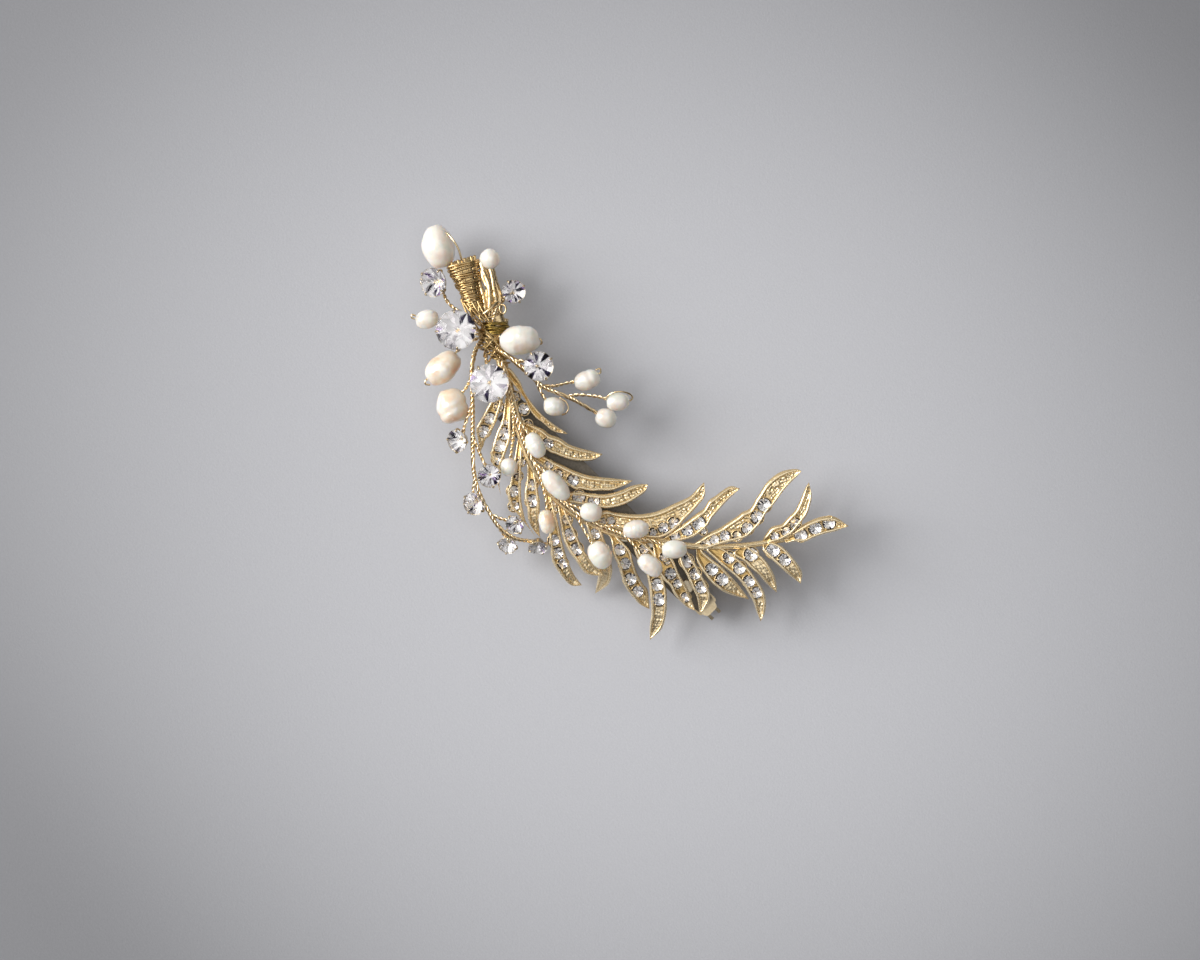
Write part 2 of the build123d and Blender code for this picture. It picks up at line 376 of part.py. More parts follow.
def pearl(centre, axis, length, dia):
    """A freshwater pearl: an ellipsoid turned about its own long axis."""
    ax = Vector(*axis).normalized()
    side = Vector(0, 0, 1) if abs(ax.Z) < 0.9 else Vector(1, 0, 0)
    plane = Plane(origin=centre, x_dir=ax, z_dir=side.cross(ax))
    with BuildSketch(plane) as half:
        with BuildLine():
            EllipticalCenterArc((0, 0), length / 2, dia / 2, start_angle=0, arc_size=180)
            Line((-length / 2, 0), (length / 2, 0))
        make_face()
    revolve(half.sketch, axis=Axis(plane.origin, plane.x_dir))


def crystal(plane, r):
    """A cut crystal: pointed pavilion, thin girdle and flat-topped crown."""
    with BuildSketch(plane) as girdle:
        RegularPolygon(r, 16)
    extrude(girdle.sketch, amount=0.3)
    extrude(girdle.sketch, amount=-0.62 * r, taper=50)
    with BuildSketch(plane.offset(0.3)) as crown:
        RegularPolygon(r, 16)
    extrude(crown.sketch, amount=0.34 * r, taper=42)


def cup(plane, r, claws=6):
    """A stamped setting: an open cup below the girdle with claws around it."""
    depth = 0.78 * r
    with BuildSketch(plane) as outside:
        Circle(r + 0.32)
    extrude(outside.sketch, amount=-depth - 0.3, taper=12)
    with BuildSketch(plane) as inside:
        Circle(r + 0.04)
    extrude(inside.sketch, amount=-depth, taper=16, mode=Mode.SUBTRACT)
    with BuildSketch(plane.offset(-0.25)) as claw:
        with PolarLocations(r + 0.22, claws):
            Circle(0.17)
    extrude(claw.sketch, amount=0.75)


# ================================================================ hair clip
# Base strip: a crowned stamping with flat ends and two hinge ears.
with BuildPart() as base_plate:
    zt = BASE_Z_END + BASE_T
    xm = (FLAT_X0 + FLAT_X1) / 2
    with BuildSketch(Plane.XZ.offset(-CLIP_Y)):
        with BuildLine():
            Line((BASE_X0, BASE_Z_END), (FLAT_X0, BASE_Z_END))
            ThreePointArc((FLAT_X0, BASE_Z_END), (xm, BASE_Z_END + BASE_RISE), (FLAT_X1, BASE_Z_END))
            Polyline((FLAT_X1, BASE_Z_END), (BASE_X1, BASE_Z_END), (BASE_X1, zt), (FLAT_X1, zt))
            ThreePointArc((FLAT_X1, zt), (xm, zt + BASE_RISE), (FLAT_X0, zt))
            Polyline((FLAT_X0, zt), (BASE_X0, zt), (BASE_X0, BASE_Z_END))
        make_face()
    extrude(amount=CLIP_W / 2, both=True)
    # the latch end narrows
    with BuildSketch(Plane.XY.offset(BASE_Z_END - 1)):
        for side in (-1, 1):
            with BuildLine():
                Polyline((32.4, CLIP_Y + side * CLIP_W / 2), (BASE_X1, CLIP_Y + side * BASE_END_W / 2),
                         (BASE_X1 + 1, CLIP_Y + side * BASE_END_W / 2), (BASE_X1 + 1, CLIP_Y + side * (CLIP_W / 2 + 1)),
                         (32.4, CLIP_Y + side * (CLIP_W / 2 + 1)), close=True)
            make_face()
    extrude(amount=4, mode=Mode.SUBTRACT)
    fillet(base_plate.edges().filter_by(Axis.Z).group_by(Axis.X)[-1], radius=0.8)
    # hinge ears, folded down from the strip's two edges
    for side in (-1, 1):
        y0 = CLIP_Y + side * CLIP_W / 2
        with BuildSketch(Plane.XZ.offset(-y0)):
            with BuildLine():
                Line((BASE_X0, BASE_Z_END + 0.1), (BASE_X0, PIN_Z))
                ThreePointArc((BASE_X0, PIN_Z), (PIN_X, PIN_Z - 1.7), (2 * PIN_X - BASE_X0, PIN_Z))
                Polyline((2 * PIN_X - BASE_X0, PIN_Z), (2 * PIN_X - BASE_X0 + 0.6, BASE_Z_END + 0.1),
                         (BASE_X0, BASE_Z_END + 0.1))
            make_face()
        extrude(amount=side * EAR_W)
    with BuildSketch(Plane.XZ.offset(-CLIP_Y)):
        with Locations((PIN_X, PIN_Z)):
            Circle(PIN_R)
    extrude(amount=CLIP_W, both=True, mode=Mode.SUBTRACT)
    with Locations((RIVET_X, CLIP_Y, zt)):
        Hole(0.801)
base_plate.part.label = "base_plate"
export_step(base_plate.part, "parts/base_plate.step")

# Hinge pin: fixed in the two ears, its ends peened over outside them.
with BuildPart() as hinge_pin:
    with BuildSketch(Plane.XZ.offset(-CLIP_Y)):
        with Locations((PIN_X, PIN_Z)):
            Circle(PIN_R)
    extrude(amount=CLIP_W / 2, both=True)
    for side in (-1, 1):
        with BuildSketch(Plane.XZ.offset(-(CLIP_Y + side * CLIP_W / 2))):
            with Locations((PIN_X, PIN_Z)):
                Circle(PIN_R + 0.35)
        extrude(amount=-side * 0.35)
    fillet(hinge_pin.edges().filter_by(GeomType.CIRCLE).group_by(Axis.Y)[0], radius=0.2)
    fillet(hinge_pin.edges().filter_by(GeomType.CIRCLE).group_by(Axis.Y)[-1], radius=0.2)
hinge_pin.part.label = "hinge_pin"
export_step(hinge_pin.part, "parts/hinge_pin.step")

# Clasp arm: a stamped frame with knuckles at the pin, two rails, and a raised
# nose whose window drops over the latch prongs.
with BuildPart() as clasp_arm:
    with BuildSketch(Plane.XZ.offset(-CLIP_Y)):
        with BuildLine():
            ThreePointArc((PIN_X - 0.3, PIN_Z - 1.47), (PIN_X - 1.5, PIN_Z), (PIN_X, PIN_Z + 1.5))
            ThreePointArc((PIN_X, PIN_Z + 1.5), (PIN_X + 1.06, PIN_Z + 1.06), (PIN_X + 1.5, PIN_Z))
            Line((PIN_X + 1.5, PIN_Z), (-7.6, ARM_T))
            Line((-7.6, ARM_T), (-4.0, ARM_T))
            ThreePointArc((-4.0, ARM_T), (11.0, ARM_T + 0.6), (26.0, ARM_T))
            Polyline((26.0, ARM_T), (31.0, ARM_T), (33.2, 3.1), (37.9, 3.1), (37.9, 2.2), (33.6, 2.2),
                     (31.4, 0.0), (26.0, 0.0))
            ThreePointArc((26.0, 0.0), (11.0, 0.6), (-4.0, 0.0))
            Polyline((-4.0, 0.0), (-8.4, 0.0), (PIN_X - 0.3, PIN_Z - 1.47))
        make_face()
    extrude(amount=ARM_W / 2, both=True)
    with BuildSketch(Plane.XY.offset(-1)):
        with Locations(((PIN_X - 4 - 8.0) / 2, CLIP_Y)):
            Rectangle(-8.0 - PIN_X + 4, EYE_GAP)
        with Locations(((-6.4 + 30.4) / 2, CLIP_Y)):
            Rectangle(36.8, ARM_W - 2 * RAIL_W)
        with Locations(((33.5 + 37.0) / 2, CLIP_Y)):
            Rectangle(3.5, NOSE_WINDOW)
    extrude(amount=9, mode=Mode.SUBTRACT)
    # the arm steps in to pass between the ears, and narrows at its nose
    with BuildSketch(Plane.XY.offset(-1)):
        for side in (-1, 1):
            with BuildLine():
                Polyline((PIN_X - 4, CLIP_Y + side * ARM_HINGE_W / 2), (-8.1, CLIP_Y + side * ARM_HINGE_W / 2),
                         (-7.4, CLIP_Y + side * (ARM_W / 2 + 0.1)), (PIN_X - 4, CLIP_Y + side * (ARM_W / 2 + 0.1)), close=True)
            make_face()
            with BuildLine():
                Polyline((30.8, CLIP_Y + side * (ARM_W / 2 + 0.1)), (33.0, CLIP_Y + side * NOSE_W / 2),
                         (39.0, CLIP_Y + side * NOSE_W / 2), (39.0, CLIP_Y + side * (ARM_W / 2 + 0.1)), close=True)
            make_face()
    extrude(amount=9, mode=Mode.SUBTRACT)
    with BuildSketch(Plane.XZ.offset(-CLIP_Y)):
        with Locations((PIN_X, PIN_Z)):
            Circle(BORE_R)
    extrude(amount=CLIP_W, both=True, mode=Mode.SUBTRACT)
    fillet(clasp_arm.edges().filter_by(Axis.Z).group_by(Axis.X)[-1], radius=0.7)
clasp_arm.part.label = "clasp_arm"
export_step(clasp_arm.part, "parts/clasp_arm.step")

# Tension spring: a thin bowed strip, rolled into an eye round the hinge pin.
with BuildPart() as tension_spring:
    with BuildSketch(Plane.XZ.offset(-CLIP_Y)):
        with BuildLine():
            ThreePointArc((PIN_X, PIN_Z + 1.15), (9.0, 4.7), (27.2, 2.5))
            Line((27.2, 2.5), (29.2, 2.75))
            Line((29.2, 2.75), (29.15, 2.75 + SPRING_T))
            Line((29.15, 2.75 + SPRING_T), (27.2, 2.5 + SPRING_T))
            ThreePointArc((27.2, 2.5 + SPRING_T), (9.0, 4.7 + SPRING_T), (PIN_X, PIN_Z + 1.15 + SPRING_T))
            Line((PIN_X, PIN_Z + 1.15 + SPRING_T), (PIN_X, PIN_Z + 1.15))
        make_face()
        with Locations((PIN_X, PIN_Z)):
            Circle(1.35)
    extrude(amount=SPRING_W / 2, both=True)
    with BuildSketch(Plane.XZ.offset(-CLIP_Y)):
        with Locations((PIN_X, PIN_Z)):
            Circle(BORE_R)
    extrude(amount=SPRING_W, both=True, mode=Mode.SUBTRACT)
tension_spring.part.label = "tension_spring"
export_step(tension_spring.part, "parts/tension_spring.step")

# Latch: a small saddle riveted under the base strip, with two springy prongs.
SADDLE_T = 0.5
with BuildPart() as latch_saddle:
    with BuildSketch(Plane.XY.offset(BASE_Z_END)):
        with Locations(((30.6 + 37.4) / 2, CLIP_Y)):
            RectangleRounded(6.8, 3.2, 1.0)
    extrude(amount=-SADDLE_T)
    with Locations((RIVET_X, CLIP_Y, BASE_Z_END)):
        Hole(0.801)
latch_saddle.part.label = "latch_saddle"
export_step(latch_saddle.part, "parts/latch_saddle.step")

with BuildPart() as latch_rivet:
    with Locations((RIVET_X, CLIP_Y, BASE_Z_END - SADDLE_T)):
        Cylinder(0.8, BASE_T + SADDLE_T, align=(Align.CENTER, Align.CENTER, Align.MIN))
    with Locations((RIVET_X, CLIP_Y, BASE_Z_END + BASE_T)):
        Cylinder(1.35, 0.45, align=(Align.CENTER, Align.CENTER, Align.MIN))
    with Locations((RIVET_X, CLIP_Y, BASE_Z_END - SADDLE_T)):
        Cylinder(1.25, 0.4, align=(Align.CENTER, Align.CENTER, Align.MAX))
    fillet(latch_rivet.edges().filter_by(GeomType.CIRCLE).group_by(Axis.Z)[-1], radius=0.3)
    fillet(latch_rivet.edges().filter_by(GeomType.CIRCLE).group_by(Axis.Z)[0], radius=0.25)
latch_rivet.part.label = "latch_rivet"
export_step(latch_rivet.part, "parts/latch_rivet.step")

# The prongs hang through the arm's window; each has a finger tab beyond the nose.
EAR_Z1 = BASE_Z_END - SADDLE_T - 0.12
EAR_PROFILE = [(34.0, EAR_Z1), (34.0, 2.2), (34.5, 0.9), (36.1, 0.9), (36.5, 1.8), (36.5, 3.5),
               (38.3, 3.6), (39.6, 3.2), (39.7, 4.0), (38.6, EAR_Z1)]
ear_parts = []
for name, side in (("latch_prong_left", 1), ("latch_prong_right", -1)):
    with BuildPart() as latch_prong:
        y_in = CLIP_Y + side * EAR_GAP / 2
        with BuildSketch(Plane.XZ.offset(-y_in)):
            with BuildLine():
                Polyline(*EAR_PROFILE, close=True)
            make_face()
        extrude(amount=-side * EAR_T)
        # outward catch below the nose
        with BuildSketch(Plane.XZ.offset(-(y_in + side * EAR_T))):
            with BuildLine():
                Polyline((34.6, 1.9), (34.6, 1.3), (36.0, 1.3), (36.0, 1.9), close=True)
            make_face()
        extrude(amount=-side * 0.1)
    latch_prong.part.label = name
    export_step(latch_prong.part, "parts/" + name + ".step")

# ================================================================ cast frond
# Rib in plan: a tapered strip along the frond's spine, from the stem's end to
# the terminal leaf.
def rib_outline(points, w0, w1):
    left, right = [], []
    for i, p in enumerate(points):
        a, b = points[max(i - 1, 0)], points[min(i + 1, len(points) - 1)]
        d = math.dist(a, b)
        nx, ny = -(b[1] - a[1]) / d, (b[0] - a[0]) / d
        w = w0 + (w1 - w0) * i / (len(points) - 1)
        left.append((p[0] + nx * w / 2, p[1] + ny * w / 2))
        right.append((p[0] - nx * w / 2, p[1] - ny * w / 2))
    return left + right[::-1]


with BuildPart() as cast_frond:
    for leaf in LEAVES.values():
        blade(leaf)
    with BuildSketch(Plane.XY.offset(RIB_Z0)):
        with BuildLine():
            Polyline(*rib_outline(MIDRIB, 2.0, 1.2), close=True)
        make_face()
    extrude(amount=RIB_Z1 - RIB_Z0)
    for leaf in LEAVES.values():
        seats(leaf)
cast_frond.part.label = "cast_frond"
export_step(cast_frond.part, "parts/cast_frond.step")

# Pave stones, grouped by size.
for name, lo, hi in (("pave_stones_large", 0.88, 9.0), ("pave_stones_medium", 0.70, 0.88),
                     ("pave_stones_small", 0.0, 0.70)):
    with BuildPart() as pave:
        for leaf in LEAVES.values():
            for x, y, r in leaf["stones"]:
                if lo <= r < hi:
                    stone(leaf, x, y, r - 0.01)
    pave.part.label = name
    export_step(pave.part, "parts/" + name + ".step")

# Solder joints between the frond's underside and the base strip.
with BuildPart() as solder_joints:
    for x, y, z0 in SOLDER:
        with BuildSketch(Plane((x, y, z0))):
            Circle(1.5)
        extrude(amount=RIB_Z0 + 0.25 - z0, taper=14)
solder_joints.part.label = "solder_joints"
export_step(solder_joints.part, "parts/solder_joints.step")

# ================================================================ pearls
for name, items in PEARLS.items():
    with BuildPart() as pearls:
        for centre, axis, length, dia in items:
            pearl(centre, axis, length, dia)
    pearls.part.label = name
    export_step(pearls.part, "parts/" + name + ".step")

# ================================================================ crystals
for name, items in CRYSTALS.items():
    with BuildPart() as crystals:
        for x, y, z, r, tilt, toward in items:
            crystal(facing(x, y, z, tilt, toward), r)
    crystals.part.label = name
    export_step(crystals.part, "parts/" + name + ".step")
    with BuildPart() as cups:
        for x, y, z, r, tilt, toward in items:
            cup(facing(x, y, z, tilt, toward), r)
    cup_name = name.replace("crystals", "settings")
    cups.part.label = cup_name
    export_step(cups.part, "parts/" + cup_name + ".step")

# ================================================================ wires
for name, items in WIRES.items():
    with BuildPart() as wires:
        for r, points in items:
            wire(points, r)
    wires.part.label = name
    export_step(wires.part, "parts/" + name + ".step")

# ================================================================ stem end
# Flattened, flared bundle of wire tails, and the fine wire wound round it.
TAIL_AXIS = Vector(TAIL[1][0] - TAIL[0][0], TAIL[1][1] - TAIL[0][1], 0)


def tail_plane(f):
    x = TAIL[0][0] + TAIL_AXIS.X * f
    y = TAIL[0][1] + TAIL_AXIS.Y * f
    return Plane(origin=(x, y, TAIL_Z), x_dir=Vector(0, 0, 1).cross(TAIL_AXIS), z_dir=TAIL_AXIS)


with BuildPart() as tail_bundle:
    for f, a, b in ((-0.03, 2.6, 1.0), (0.5, 1.9, 1.0), (1.04, 1.0, 0.9)):
        with BuildSketch(tail_plane(f)):
            Ellipse(a, b)
    loft()
tail_bundle.part.label = "tail_bundle"
export_step(tail_bundle.part, "parts/tail_bundle.step")

with BuildPart() as tail_wrap:
    n = 14
    for i in range(n):
        f0, f1 = i / n, (i + 0.86) / n
        w0, w1 = 2.6 - 1.6 * f0, 2.6 - 1.6 * f1
        with BuildSketch(tail_plane(f0)):
            Ellipse(w0 + 0.5, 1.45)
        extrude(amount=TAIL_AXIS.length * (f1 - f0))
    with BuildSketch(tail_plane(-0.05)):
        Ellipse(2.68, 1.05)
    with BuildSketch(tail_plane(0.5)):
        Ellipse(1.95, 1.05)
    with BuildSketch(tail_plane(1.05)):
        Ellipse(1.05, 0.95)
    loft(mode=Mode.SUBTRACT)
tail_wrap.part.label = "tail_wrap"
export_step(tail_wrap.part, "parts/tail_wrap.step")

# Bindings of fine wire round the stem and the bundled wire stems.
for name, (x, y, z, head, turns, pitch, ro, ri) in BINDINGS.items():
    h = math.radians(head)
    with BuildPart() as binding:
        for i in range(turns):
            s = (i - (turns - 1) / 2) * pitch
            origin = (x + math.cos(h) * s, y + math.sin(h) * s, z)
            with BuildSketch(Plane(origin=origin, x_dir=(0, 0, 1), z_dir=(math.cos(h), math.sin(h), 0))):
                Circle(ro if i % 2 == 0 else ro - 0.12)
                Circle(ri, mode=Mode.SUBTRACT)
            extrude(amount=pitch / 2, both=True)
    binding.part.label = name
    export_step(binding.part, "parts/" + name + ".step")
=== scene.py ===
import math
import random

import bpy
import numpy as np
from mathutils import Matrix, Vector, noise


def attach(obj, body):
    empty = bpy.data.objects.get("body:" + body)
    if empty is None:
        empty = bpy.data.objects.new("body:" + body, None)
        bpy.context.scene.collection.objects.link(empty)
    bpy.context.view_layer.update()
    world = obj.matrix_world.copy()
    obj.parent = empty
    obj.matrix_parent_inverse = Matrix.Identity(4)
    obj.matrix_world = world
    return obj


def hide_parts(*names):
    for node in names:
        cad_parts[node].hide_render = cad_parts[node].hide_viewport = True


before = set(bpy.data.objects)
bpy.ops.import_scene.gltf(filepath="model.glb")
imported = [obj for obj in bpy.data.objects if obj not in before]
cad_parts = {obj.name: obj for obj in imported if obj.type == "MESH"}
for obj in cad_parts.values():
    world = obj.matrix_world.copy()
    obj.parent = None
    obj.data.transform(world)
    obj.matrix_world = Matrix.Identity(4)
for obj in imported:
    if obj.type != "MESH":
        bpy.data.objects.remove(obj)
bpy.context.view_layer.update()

MM = 0.001
ROOT = "clip_base"
rng = random.Random(7)

# All tables are in millimetres in the row frame, the same numbers as the CAD model.
LEAVES = {
    "u1": dict(root=(-17.91, -0.47), tip=(-2.25, -0.47), z=(7.90, 7.40),
        a=[(-17.91, 0.54), (-15.00, 0.16), (-13.23, -0.60), (-11.34, -0.98), (-9.07, -1.23), (-7.30, -1.23), (-5.28, -0.98), (-3.39, -0.60)],
        b=[(-12.35, -1.48), (-10.71, -2.12), (-8.56, -2.49), (-6.79, -2.24), (-4.90, -2.12), (-3.64, -1.61)],
        stones=[(-13.68, -2.43, 0.71), (-10.94, -2.97, 0.83), (-9.45, -5.15, 0.42), (-8.56, -4.26, 0.58)]),
    "u2": dict(root=(-10.08, -5.27), tip=(4.70, 1.42), z=(7.90, 7.60),
        a=[(-6.42, -3.13), (-4.46, -2.81), (-2.75, -1.99), (-0.86, -1.61), (1.03, -0.73), (2.93, 0.41)],
        b=[(-2.88, -5.15), (-1.36, -4.64), (0.40, -3.88), (1.99, -2.95), (3.69, -1.36), (4.44, -0.10)],
        stones=[(-3.64, -4.14, 0.83)]),
    "u3": dict(root=(-5.03, -7.80), tip=(11.83, 1.86), z=(8.00, 7.80),
        a=[(-2.75, -6.28), (-0.61, -5.65), (1.41, -4.89), (3.43, -4.14), (5.45, -3.13), (7.22, -1.86), (8.74, -0.60), (10.00, 0.41)],
        b=[(4.82, -6.79), (6.21, -5.90), (7.98, -4.64), (8.95, -3.59), (10.34, -2.20), (11.01, -0.85), (11.58, 0.60)],
        stones=[(-0.73, -6.79, 0.66), (1.54, -6.79, 0.75), (4.19, -5.65, 0.91)]),
    "u4": dict(root=(4.57, -9.82), tip=(14.17, 3.31), z=(8.00, 7.90),
        a=[(5.96, -6.66), (7.98, -5.15), (10.00, -3.38), (11.39, -1.23), (12.27, 0.92), (13.16, 2.30)],
        b=[(11.07, -5.71), (12.52, -4.39), (13.66, -2.49), (14.29, -0.85), (14.67, 0.79), (14.80, 2.18)],
        stones=[(7.09, -7.04, 1.00), (9.46, -5.61, 0.91)]),
    "u5": dict(root=(11.39, -8.55), tip=(20.98, 10.64), z=(8.00, 9.40),
        a=[(11.89, -5.53), (13.54, -4.39), (15.81, -2.62), (17.20, -1.23), (18.46, 0.54), (19.34, 2.43), (19.85, 3.95), (20.35, 5.21), (20.98, 7.10), (20.98, 9.12)],
        b=[(15.18, -6.79), (18.21, -5.27), (21.62, -2.87), (22.88, -1.10), (23.38, 1.17), (23.26, 3.31), (23.26, 5.33), (23.13, 7.23), (22.75, 9.12)],
        stones=[(13.41, -7.04, 0.57), (14.17, -6.03, 0.65), (20.86, -2.12, 0.58), (21.68, -0.28, 0.83), (22.37, 1.67, 0.91)]),
    "u6": dict(root=(23.38, -1.61), tip=(26.35, 14.36), z=(8.10, 9.40),
        a=[(23.13, 0.41), (23.64, 3.19), (24.02, 5.84), (24.27, 7.36), (23.89, 9.00), (24.14, 10.26), (24.39, 12.03), (24.90, 13.54)],
        b=[(25.40, 0.16), (26.67, 2.68), (26.92, 5.46), (26.54, 6.85), (26.41, 8.49), (26.29, 10.38), (26.29, 12.15)],
        stones=[(24.22, 0.08, 0.75), (24.94, 2.54, 0.91), (25.49, 4.79, 1.07), (27.05, 4.32, 0.49)]),
    "u7": dict(root=(27.93, 1.42), tip=(31.84, 24.27), z=(8.10, 10.40),
        a=[(27.68, 2.94), (27.93, 4.70), (28.69, 6.72), (29.07, 8.62), (29.45, 10.51), (29.57, 11.65), (30.08, 13.16), (29.57, 15.18), (29.32, 16.45), (28.94, 18.09), (28.94, 19.60), (29.19, 21.12), (29.82, 22.51), (30.96, 23.90)],
        b=[(29.70, 2.43), (31.34, 5.59), (33.11, 8.62), (33.36, 10.64), (33.23, 12.53), (32.73, 14.55), (32.60, 16.45), (32.35, 17.96), (32.10, 19.48), (31.97, 21.12), (31.97, 23.14)],
        stones=[(29.03, 3.02, 0.83), (29.70, 4.70, 0.75), (30.45, 6.47, 0.83), (31.97, 7.99, 0.75), (32.29, 10.20, 0.91), (32.10, 12.81, 1.00), (31.46, 15.31, 1.08)]),
    "u8": dict(root=(36.14, 10.89), tip=(34.18, 23.83), z=(8.30, 9.90),
        a=[(35.38, 11.65), (35.13, 13.42), (36.01, 15.06), (36.01, 16.57), (36.01, 18.34), (35.63, 19.73), (35.13, 20.99), (34.49, 22.63)],
        b=[(37.91, 12.91), (38.54, 15.31), (38.28, 18.09), (38.03, 19.60), (37.27, 21.12), (36.20, 22.57)],
        stones=[(36.84, 12.71, 0.66), (37.53, 14.80, 0.75), (37.65, 16.95, 0.83)]),
    "u9": dict(root=(38.54, 13.54), tip=(44.80, 23.34), z=(8.40, 9.40),
        a=[(38.41, 14.93), (38.66, 17.20), (39.17, 18.97), (39.67, 20.23), (40.43, 21.50), (41.44, 22.51), (42.70, 23.01)],
        b=[(39.29, 13.54), (39.86, 14.49), (41.26, 15.87), (41.82, 17.33), (42.70, 19.22), (43.84, 21.12)],
        stones=[(39.92, 16.19, 1.00), (40.76, 18.80, 1.00), (41.95, 21.24, 1.00)]),
    "d1": dict(root=(36.39, 10.64), tip=(46.11, 10.01), z=(8.10, 7.90),
        a=[(38.16, 12.15), (39.92, 12.41), (41.82, 12.28), (43.59, 12.03), (45.04, 11.46)],
        b=[(37.15, 9.38), (39.17, 9.38), (41.31, 9.50), (43.46, 9.63)],
        stones=[(38.41, 10.64, 1.08), (41.00, 10.95, 1.00)]),
    "d2": dict(root=(33.86, 7.36), tip=(44.22, 5.84), z=(8.00, 7.60),
        a=[(36.64, 8.37), (38.54, 8.49), (40.05, 8.24), (41.95, 7.61), (43.33, 6.72)],
        b=[(33.74, 5.21), (36.01, 5.71), (37.78, 5.71), (39.67, 5.84), (41.57, 5.71)],
        stones=[(36.07, 7.42, 1.08)]),
    "d3": dict(root=(30.45, 3.69), tip=(45.86, 0.16), z=(8.00, 7.00),
        a=[(33.23, 4.96), (37.15, 5.33), (39.42, 5.08), (41.31, 4.70), (42.83, 4.20), (44.28, 3.12), (45.35, 1.67)],
        b=[(29.82, 2.30), (31.59, 2.30), (33.99, 2.43), (36.26, 2.68), (38.54, 2.68), (40.43, 2.30), (42.20, 1.80), (44.09, 0.92)],
        stones=[(33.67, 4.26, 0.91), (36.33, 4.26, 0.95), (39.17, 3.82, 0.91), (41.62, 3.29, 0.91)]),
    "d4": dict(root=(28.31, 1.80), tip=(41.69, 1.55), z=(7.80, 6.20),
        a=[(29.57, 1.80), (31.97, 1.93), (33.74, 2.18), (36.01, 2.18), (38.41, 2.05)],
        b=[(30.20, -0.35), (33.99, -1.10), (35.82, -1.04), (37.40, -0.73), (39.48, 0.22)],
        stones=[(33.01, 0.51, 1.00), (35.63, 0.54, 1.00)]),
    "d5": dict(root=(25.78, -0.22), tip=(37.27, -6.66), z=(7.95, 7.40),
        a=[(29.70, -0.60), (31.84, -1.23), (33.99, -1.86), (35.76, -2.62), (36.89, -4.01)],
        b=[(28.18, -2.62), (30.33, -3.25), (32.73, -4.14), (34.75, -4.89)],
        stones=[(28.77, -1.52, 1.08), (31.41, -2.06, 0.91), (33.86, -3.00, 1.00)]),
    "d6": dict(root=(22.50, -3.25), tip=(36.26, -6.66), z=(7.80, 6.80),
        a=[(26.54, -3.00), (29.70, -4.14), (32.60, -5.02)],
        b=[(25.02, -5.78), (27.80, -6.79), (29.82, -6.79), (31.34, -7.29), (32.98, -7.42), (34.87, -7.29)],
        stones=[(25.40, -3.88, 0.62), (26.41, -4.14, 0.38), (28.43, -5.15, 0.91), (30.45, -5.65, 0.71), (33.24, -6.27, 0.75)]),
    "d7": dict(root=(19.34, -5.40), tip=(34.24, -16.26), z=(7.95, 5.60),
        a=[(23.00, -4.51), (26.04, -5.53), (28.43, -6.91), (30.01, -7.86), (31.59, -9.31), (32.92, -10.77), (33.99, -12.47), (34.37, -13.86)],
        b=[(21.74, -7.29), (24.77, -8.05), (26.41, -8.93), (28.18, -10.20), (29.57, -11.33), (31.04, -12.65), (32.35, -14.36)],
        stones=[(21.87, -5.40, 0.75), (27.99, -8.24, 1.00), (30.20, -9.94, 1.04)]),
    "d8": dict(root=(15.55, -7.67), tip=(30.33, -12.34), z=(8.00, 5.00),
        a=[(19.97, -7.29), (22.00, -8.30), (24.02, -9.31), (26.16, -9.94), (27.68, -10.20)],
        b=[(16.57, -8.43), (18.59, -9.94), (20.61, -10.70), (22.50, -11.71), (24.52, -12.60), (26.54, -12.85), (28.43, -12.97)],
        stones=[(18.96, -8.55, 0.91), (21.36, -9.69, 0.91), (23.96, -11.03, 1.00), (26.49, -11.64, 0.91)]),
    "d9": dict(root=(11.26, -8.93), tip=(21.49, -17.39), z=(8.15, 1.20),
        a=[(13.66, -8.30), (16.94, -9.82), (20.10, -11.71), (21.25, -12.96), (22.00, -14.62)],
        b=[(12.65, -10.32), (15.68, -11.84), (18.33, -13.23), (19.60, -14.74)],
        stones=[(13.85, -9.63, 0.87)]),
    "d10": dict(root=(5.71, -10.45), tip=(20.61, -13.73), z=(7.70, 6.00),
        a=[(12.15, -12.34), (13.54, -12.97), (15.43, -13.35), (17.57, -13.73), (19.60, -13.73)],
        b=[(10.25, -14.24), (13.03, -15.25), (14.80, -15.50), (16.69, -15.88), (18.21, -15.63)],
        stones=[(8.48, -11.46, 0.75), (10.76, -12.97, 1.00), (13.33, -13.93, 1.00)]),
    "d11": dict(root=(2.17, -10.20), tip=(18.71, -17.90), z=(7.70, 5.00),
        a=[(8.36, -13.35), (9.87, -14.36), (11.77, -15.50), (14.29, -16.76), (16.31, -17.52)],
        b=[(10.76, -17.77), (12.21, -18.72), (14.17, -19.16), (16.19, -19.41), (17.57, -19.16)],
        stones=[(4.57, -11.08, 0.42), (5.58, -11.84, 0.50), (9.44, -15.70, 0.91), (11.46, -16.81, 0.91), (13.48, -17.57, 0.83)]),
    "l4": dict(root=(-3.51, -8.81), tip=(7.35, -17.14), z=(7.80, 6.20),
        a=[(-0.42, -10.26), (1.03, -11.33), (2.87, -12.79), (4.25, -14.17), (5.71, -15.75)],
        b=[(-1.68, -11.52), (-0.66, -13.03), (0.48, -14.16), (1.92, -14.99), (3.43, -16.26), (5.14, -16.95)],
        stones=[(-0.35, -11.46, 0.83), (1.67, -13.48, 1.00)]),
    "l3": dict(root=(-7.55, -7.29), tip=(7.09, -17.65), z=(7.70, 5.60),
        a=[(-2.50, -12.09), (-0.35, -14.24), (1.79, -15.88), (3.75, -16.95)],
        b=[(-3.39, -13.98), (-2.94, -15.18), (-1.62, -16.26), (-0.10, -17.02), (1.41, -17.02)],
        stones=[(-4.71, -9.88, 0.66), (-3.26, -12.09, 0.66), (-2.00, -14.62, 0.91), (0.02, -16.38, 0.83)]),
